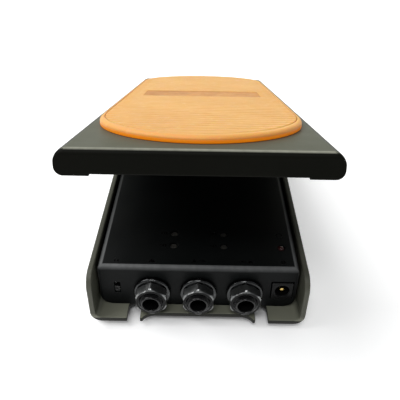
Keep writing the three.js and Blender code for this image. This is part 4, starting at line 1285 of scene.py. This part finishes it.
def pot_body():
    """A crimped can with a threaded bush, and three lugs on a small board."""
    low, high = extent("pot_body")
    face, back, radius, bush = low.x + 4.9, high.x, 8.0, POT_BUSH
    profile = [(0, low.x), (bush - 0.3, low.x), (bush, low.x + 0.3)]
    for turn in range(6):
        along = low.x + 0.5 + turn * 0.7
        profile += [(bush, along), (bush - 0.3, along + 0.25), (bush - 0.3, along + 0.4),
                    (bush, along + 0.6)]
    profile += [
        (bush, face), (radius - 0.7, face), (radius - 0.2, face + 0.2), (radius, face + 0.7),
        (radius, face + 1.9), (radius - 0.35, face + 2.1), (radius - 0.35, back - 1.2),
        (radius - 0.7, back - 0.35), (radius - 1.5, back), (radius - 3, back),
        (radius - 3.4, back - 0.3), (0, back - 0.3),
    ]
    can = turned("X", SHAFT.y, SHAFT.z, profile, 72)
    bore = rod("X", low.x - 1, face - 0.1, SHAFT.y, SHAFT.z, SHAFT_HOLE)
    holder = block(face + 2, face + 9, low.y + 2.4, SHAFT.y - 6, SHAFT.z - 1, SHAFT.z + 1, 0.2)
    lugs = [block(x - 0.7, x + 0.7, low.y, low.y + 3, SHAFT.z - 0.3, SHAFT.z + 0.3, 0.5)
            for x in (face + 3.2, face + 5.5, face + 7.8)]
    refined("pot_body", cut(join(can, holder, *lugs), bore), sharp=28)


def pot_nut():
    """A hexagon with its corners turned off on the outer side."""
    low, high = extent("pot_nut")
    corner = 6.0
    outline = circle(SHAFT.y, SHAFT.z, corner, 6)
    cone = turned("X", SHAFT.y, SHAFT.z, [
        (0, low.x), (corner - 0.8, low.x), (corner + 0.1, low.x + 0.6), (corner + 0.1, high.x),
        (0, high.x),
    ])
    hole = rod("X", low.x - 1, high.x + 1, SHAFT.y, SHAFT.z, POT_BUSH + 0.15)
    refined("pot_nut", cut(meet(prism("X", low.x, high.x, outline), cone), hole))


def pot_bracket():
    """Angled sheet, screwed to the base, with the potentiometer in its upright part."""
    low, high = extent("pot_bracket")
    inner_x, inner_z = low.x + POT_SHEET, low.z + POT_SHEET
    fold = prism("Y", low.y, high.y, rounded([
        (low.x, high.z), (low.x, low.z, 2), (high.x, low.z), (high.x, inner_z),
        (inner_x, inner_z, 0.6), (inner_x, high.z)]))
    standing = prism("X", low.x - 1, inner_x + 0.7, rounded([
        (low.y, low.z - 1), (high.y, low.z - 1), (high.y, 12, 3), (SHAFT.y + 9, high.z, 5),
        (SHAFT.y - 9, high.z, 5), (low.y, 12, 3)]))
    lying = block(low.x + 2, high.x, low.y, high.y, low.z - 1, inner_z + 0.7, 2.5)
    form = cut(meet(fold, join(standing, lying)),
               rod("X", low.x - 1, inner_x + 1, SHAFT.y, SHAFT.z, POT_BUSH + 0.2),
               *screw_holes(POT_SCREWS, 12))
    refined("pot_bracket", form, bevel=0.15)


def pivot_bracket():
    """The folded sheet under the treadle, with ears for the axle and a tab for the gear."""
    low, high = extent("pivot_bracket", treadle=True)
    half, end, top = high.x, high.y, high.z
    inside = half - BRACKET_SHEET
    fold = prism("Y", -end, end, rounded([
        (-half, low.z - 1), (-inside, low.z - 1), (-inside, WEB, 0.8), (inside, WEB, 0.8),
        (inside, low.z - 1), (half, low.z - 1), (half, top, 2.8), (-half, top, 2.8)]))
    ear = [*arc(0, 0, BRACKET_EAR, -170 * DEGREE, -10 * DEGREE), (end, WEB + 0.5), (end, top + 1),
           (-end, top + 1), (-end, WEB + 0.5)]
    tab_x = extent("sector_gear", treadle=True)[1].x + 0.3
    tab = prism("X", tab_x, tab_x + BRACKET_SHEET, rounded([
        (-8, 6, 3), (8, 6, 3), (8, WEB + 0.5), (-8, WEB + 0.5)]))
    rivets = [node_centre(f"plate_rivet_{name}", treadle=True) for name in CORNERS]
    holes = [rod("Z", WEB - 1, top + 1, spot.x, spot.y, 1.8, 24) for spot in rivets]
    holes += [rod("X", tab_x - 1, tab_x + 3, y, z, RIVET_HOLE, 24) for y, z in GEAR_RIVETS.values()]
    form = cut(join(meet(fold, prism("X", -half, half, ear)), tab),
               rod("X", -half - 1, half + 1, 0, 0, BUSH["outside"] + 0.2), *holes)
    refined("pivot_bracket", form, bevel=0.2)


def plate_rivets():
    """Rivets through the plate and the bracket, with a hollow in the formed lower end."""
    for name in CORNERS:
        low, high = extent(f"plate_rivet_{name}", treadle=True)
        spot = (low + high) / 2
        profile = [
            (0, low.z + 0.4), (0.7, low.z + 0.35), (1.2, low.z), (2.2, low.z + 0.1), (2.8, low.z + 0.5),
            (3, low.z + 0.9), (3, low.z + 1.2), (1.6, low.z + 1.2), (1.6, high.z - 1.4),
            (3, high.z - 1.4), (3, high.z - 0.4), (2.85, high.z - 0.1), (2.6, high.z), (0, high.z),
        ]
        refined(f"plate_rivet_{name}", turned("Z", spot.x, spot.y, profile, 40), sharp=50)


def gear_rivets():
    """Rivets with a flat domed head at both ends, through the sector and the bracket's tab."""
    for name, (y, z) in GEAR_RIVETS.items():
        low, high = extent(f"gear_rivet_{name}", treadle=True)
        profile = [
            (0, low.x), (1.7, low.x + 0.05), (2.3, low.x + 0.35), (2.5, low.x + 0.8), (2.5, low.x + 1),
            (1.4, low.x + 1), (1.4, high.x - 1), (2.5, high.x - 1), (2.5, high.x - 0.8),
            (2.3, high.x - 0.35), (1.7, high.x - 0.05), (0, high.x),
        ]
        refined(f"gear_rivet_{name}", turned("X", y, z, profile, 36), sharp=50)


def bushes_and_spacers():
    """Flanged bushes in the bracket's ears, and grooved rings between them and the walls."""
    face = extent("pivot_bracket", treadle=True)[1].x
    bore, outside, rim, soft = (BUSH[key] for key in ("bore", "outside", "flange", "soft"))
    for name, side in SIDES.items():
        start, flange, finish = (side * x for x in (face - 3, face + 0.1, face + 1.1))
        step = side * soft
        refined(f"pivot_bush_{name}", ringed("X", 0, 0, [
            (bore, start), (outside - soft, start), (outside, start + step), (outside, flange),
            (rim - soft, flange), (rim, flange + step), (rim, finish - step), (rim - soft, finish),
            (bore, finish), (bore - soft, finish - step), (bore - soft, start + step)], 72))
        low, high = extent(f"axle_spacer_{name}")
        middle = (low.x + high.x) / 2
        refined(f"axle_spacer_{name}", ringed("X", 0, AXLE.z, [
            (4.5, low.x), (6.0, low.x), (6.4, low.x + 0.4), (6.4, middle - 0.5), (6.2, middle - 0.3),
            (6.2, middle + 0.3), (6.4, middle + 0.5), (6.4, high.x - 0.4), (6.0, high.x), (4.5, high.x),
            (4.2, high.x - 0.3), (4.2, low.x + 0.3)], 72))


BOARD = {"bottom": 20.5, "thickness": 1.6, "corner": 3.0}
CAPACITORS = {"radius": 3.2, "places": ((-20, -50), (-8, -46), (8, -46))}
CHIP = {"low": (-6, -66), "high": (6, -58), "dot": 0.6}


def capacitor(x, y, low, high):
    """A can hanging from the board, with a crimp near it and a shallow hollow in its end."""
    radius = CAPACITORS["radius"]
    return turned("Z", x, y, [
        (0, low + 0.15), (2.4, low + 0.15), (2.5, low), (radius - 0.3, low), (radius, low + 0.3),
        (radius, high - 1.7), (radius - 0.3, high - 1.4), (radius, high - 1.1), (radius, high - 0.2),
        (radius - 0.2, high), (0, high),
    ], 40)


def circuit_board():
    """A board with rounded corners; its capacitors hang below it and its chip lies on top."""
    low, high = extent("circuit_board")
    bottom, top = BOARD["bottom"], BOARD["bottom"] + BOARD["thickness"]
    sheet = prism("Z", bottom, top, rectangle(low.x, high.x, low.y, high.y, BOARD["corner"]))
    dark = [capacitor(x, y, low.z, bottom) for x, y in CAPACITORS["places"]]
    x, y = CHIP["low"][0] + 2 * CHIP["dot"], CHIP["high"][1] - 1.3
    dark.append(cut(soft_block("Z", (*CHIP["low"], top), (*CHIP["high"], high.z), 0.15, 0.1),
                    rod("Z", high.z - 0.15, high.z + 1, x, y, CHIP["dot"], 24)))
    for form in dark:
        for face in form.faces:
            face.material_index = 1
    thing = refined("circuit_board", merged([sheet, *dark]), sharp=40)
    thing.data.materials.append(LOOKS["black_plastic"])


def smooth_route(points, steps, tension=0.3):
    """Points along a cubic curve through the given (y, z) points, each with its direction."""
    first, last = points[0] * 2 - points[1], points[-1] * 2 - points[-2]
    points = [first, *points, last]
    spans = len(points) - 3
    route = []
    for i in range(steps + 1):
        along = spans * i / steps
        span = min(int(along), spans - 1)
        w = along - span
        before, start, end, after = points[span:span + 4]
        leave, arrive = (end - before) * tension, (after - start) * tension
        spot = start * (2 * w ** 3 - 3 * w ** 2 + 1) + end * (3 * w ** 2 - 2 * w ** 3)
        spot += leave * (w ** 3 - 2 * w ** 2 + w) + arrive * (w ** 3 - w ** 2)
        course = start * (6 * w ** 2 - 6 * w) + end * (6 * w - 6 * w ** 2)
        course += leave * (3 * w ** 2 - 4 * w + 1) + arrive * (3 * w ** 2 - 2 * w)
        route.append((spot, course.normalized()))
    return route


CABLE = {"half": 0.55, "cores": 3, "points_across": 30, "steps": 60}
CABLE_LEVEL = FLOOR + 0.3 + CABLE["half"]
CABLE_ROUTE = [Vector(point) for point in (
    (-56, 19.9), (-56, 13), (-51, CABLE_LEVEL + 0.8), (-42, CABLE_LEVEL), (-20, CABLE_LEVEL),
    (-4, CABLE_LEVEL), (1.5, CABLE_LEVEL + 1.5), (3.2, 11), (5.2, SHAFT.z - 0.2), (8.8, SHAFT.z),
)]


def pot_cable():
    """A flat cable of three cores, from the board down along the base to the potentiometer."""
    low, high = extent("pot_cable")
    width, half, fine = high.x - low.x, CABLE["half"], CABLE["points_across"]
    shares = [i / fine for i in range(fine + 1)]
    section = [(low.x + width * share,
                half * (0.7 + 0.3 * abs(math.sin(math.pi * CABLE["cores"] * share))))
               for share in shares]
    rings = []
    for spot, course in smooth_route(CABLE_ROUTE, CABLE["steps"]):
        up = Vector((-course.y, course.x))
        ring = [(x, *(spot + up * deep)) for x, deep in section]
        ring += [(x, *(spot - up * deep)) for x, deep in reversed(section)]
        rings.append(ring)
    refined("pot_cable", loft(rings), sharp=60, flats=False)


def cable_clip():
    """A bridge over the cable, with an ear at each side."""
    low, high = extent("cable_clip")
    ear, wall = 3.4, 0.9
    x0, x1, crest = low.x + ear, high.x - ear, high.z - wall
    outline = rounded([
        (low.x, low.z), (x0, low.z), (x0, crest, 0.5), (x1, crest, 0.5), (x1, low.z), (high.x, low.z),
        (high.x, low.z + wall, 0.3), (x1 + wall, low.z + wall, 0.4), (x1 + wall, high.z, 0.8),
        (x0 - wall, high.z, 0.8), (x0 - wall, low.z + wall, 0.4), (low.x, low.z + wall, 0.3)])
    refined("cable_clip", prism("Y", low.y, high.y, outline), bevel=0.12)


# ---------------------------------------------------------------- studio

# The camera's place in mm, its turns in degrees and its focal length in mm.
CAMERA = {"place": (1.13, -261.09, 162.77), "down": 33.62, "yaw": -0.31, "roll": 0.80, "lens": 42.24}
# Soft lights, in metres and watts.
LIGHTS = {
    "top_light": {"place": (-1.05, 0.25, 1.6), "target": (0, 0, 0), "size": (1.5, 1.5), "watts": 31},
    "back_light": {"place": (0, 1.9, 0.5), "target": (0, 0, 0.1), "size": (3.2, 1.0), "watts": 8,
                   "color": (1.0, 1.0, 0.8)},
    "front_light": {"place": (-0.15, -1.05, 1.75), "target": (0, 0, 0), "size": (0.8, 0.5),
                    "watts": 12},
}
WORLD_COLOR = (0.95, 0.97, 1.0, 1)
WORLD_STRENGTH = 0.25
FLOOR_HALF = 6            # metres
FLOOR_GLOW = 0.33
SHADOW_FADE = 9.0           # the glow fades out over this many mm, inwards from the base's edges, as a painted shadow under the base


def studio_camera():
    down, yaw, roll = (CAMERA[key] * DEGREE for key in ("down", "yaw", "roll"))
    forward = Vector((math.sin(yaw) * math.cos(down), math.cos(yaw) * math.cos(down), -math.sin(down)))
    level = Vector((math.cos(yaw), -math.sin(yaw), 0))
    upright = level.cross(forward)
    right = level * math.cos(roll) + upright * math.sin(roll)
    up = upright * math.cos(roll) - level * math.sin(roll)
    data = bpy.data.cameras.new("camera")
    data.lens = CAMERA["lens"]
    data.clip_start = 0.01
    camera = bpy.data.objects.new("camera", data)
    turn = Matrix((right, up, -forward)).transposed().to_4x4()
    camera.matrix_world = Matrix.Translation(Vector(CAMERA["place"]) * MM) @ turn
    bpy.context.scene.collection.objects.link(camera)
    bpy.context.scene.camera = camera


def softbox(name, place, target, size, watts, color=(1, 1, 1)):
    data = bpy.data.lights.new(name, "AREA")
    data.shape = "RECTANGLE"
    data.size, data.size_y = size
    data.energy = watts
    data.color = color
    lamp = bpy.data.objects.new(name, data)
    lamp.location = place
    lamp.rotation_euler = (Vector(target) - Vector(place)).to_track_quat("-Z", "Y").to_euler()
    lamp.visible_camera = False
    bpy.context.scene.collection.objects.link(lamp)


def world_light():
    world = bpy.data.worlds.new("studio")
    world.use_nodes = True
    background = world.node_tree.nodes["Background"]
    background.inputs["Color"].default_value = WORLD_COLOR
    background.inputs["Strength"].default_value = WORLD_STRENGTH
    bpy.context.scene.world = world


def floor_paper():
    """White paper with a little light of its own, which fades out under the base as a painted shadow."""
    look = Look("studio_paper", 0.9, Emission_Color=(1, 1, 1, 1))
    look.color(look.mix(look.noise(300, 2), (0.93, 0.93, 0.93), (0.95, 0.95, 0.95)))
    middle = (BASE_LOW + BASE_HIGH) / 2 * MM
    half = (BASE_HIGH - BASE_LOW) / 2 * MM
    outside = []
    for axis, centre, reach in (("X", middle.x, half.x), ("Y", middle.y, half.y)):
        away = look.reckon("ABSOLUTE", look.reckon("SUBTRACT", look.along(axis), centre))
        outside.append(look.span(away, reach - SHADOW_FADE * MM, reach, 0, 1))
    look.set(look.shader, Emission_Strength=look.times(look.reckon("MAXIMUM", *outside), FLOOR_GLOW))
    return look.material


def studio_floor():
    half = FLOOR_HALF
    floor = bpy.data.objects.new("studio_floor", bpy.data.meshes.new("studio_floor"))
    form = bmesh.new()
    form.faces.new([form.verts.new((x, y, 0)) for x, y in (
        (-half, -half), (half, -half), (half, half), (-half, half))])
    form.to_mesh(floor.data)
    form.free()
    floor.data.materials.append(floor_paper())
    bpy.context.scene.collection.objects.link(floor)


def studio():
    studio_camera()
    for name, light in LIGHTS.items():
        softbox(name, **light)
    world_light()
    studio_floor()
    bpy.context.scene.view_settings.view_transform = "Standard"


# ---------------------------------------------------------------- everything

treadle_plate()
treadle_pad()
bumpers()
base_chassis()
feet()
base_screws()
axle()
control_box()
for jack, jack_spot in JACK_SPOTS.items():
    jack_socket(jack, jack_spot.x, jack_spot.z)
    jack_washer(jack, jack_spot.x, jack_spot.z)
    jack_nut(jack, jack_spot.x, jack_spot.z)
power_socket()
switch()
trimmers()
status_lamp()
box_prints()
sector_gear()
drive_pinion()
pot_shaft()
pot_body()
pot_nut()
pot_bracket()
pivot_bracket()
plate_rivets()
gear_rivets()
bushes_and_spacers()
circuit_board()
pot_cable()
cable_clip()
studio()
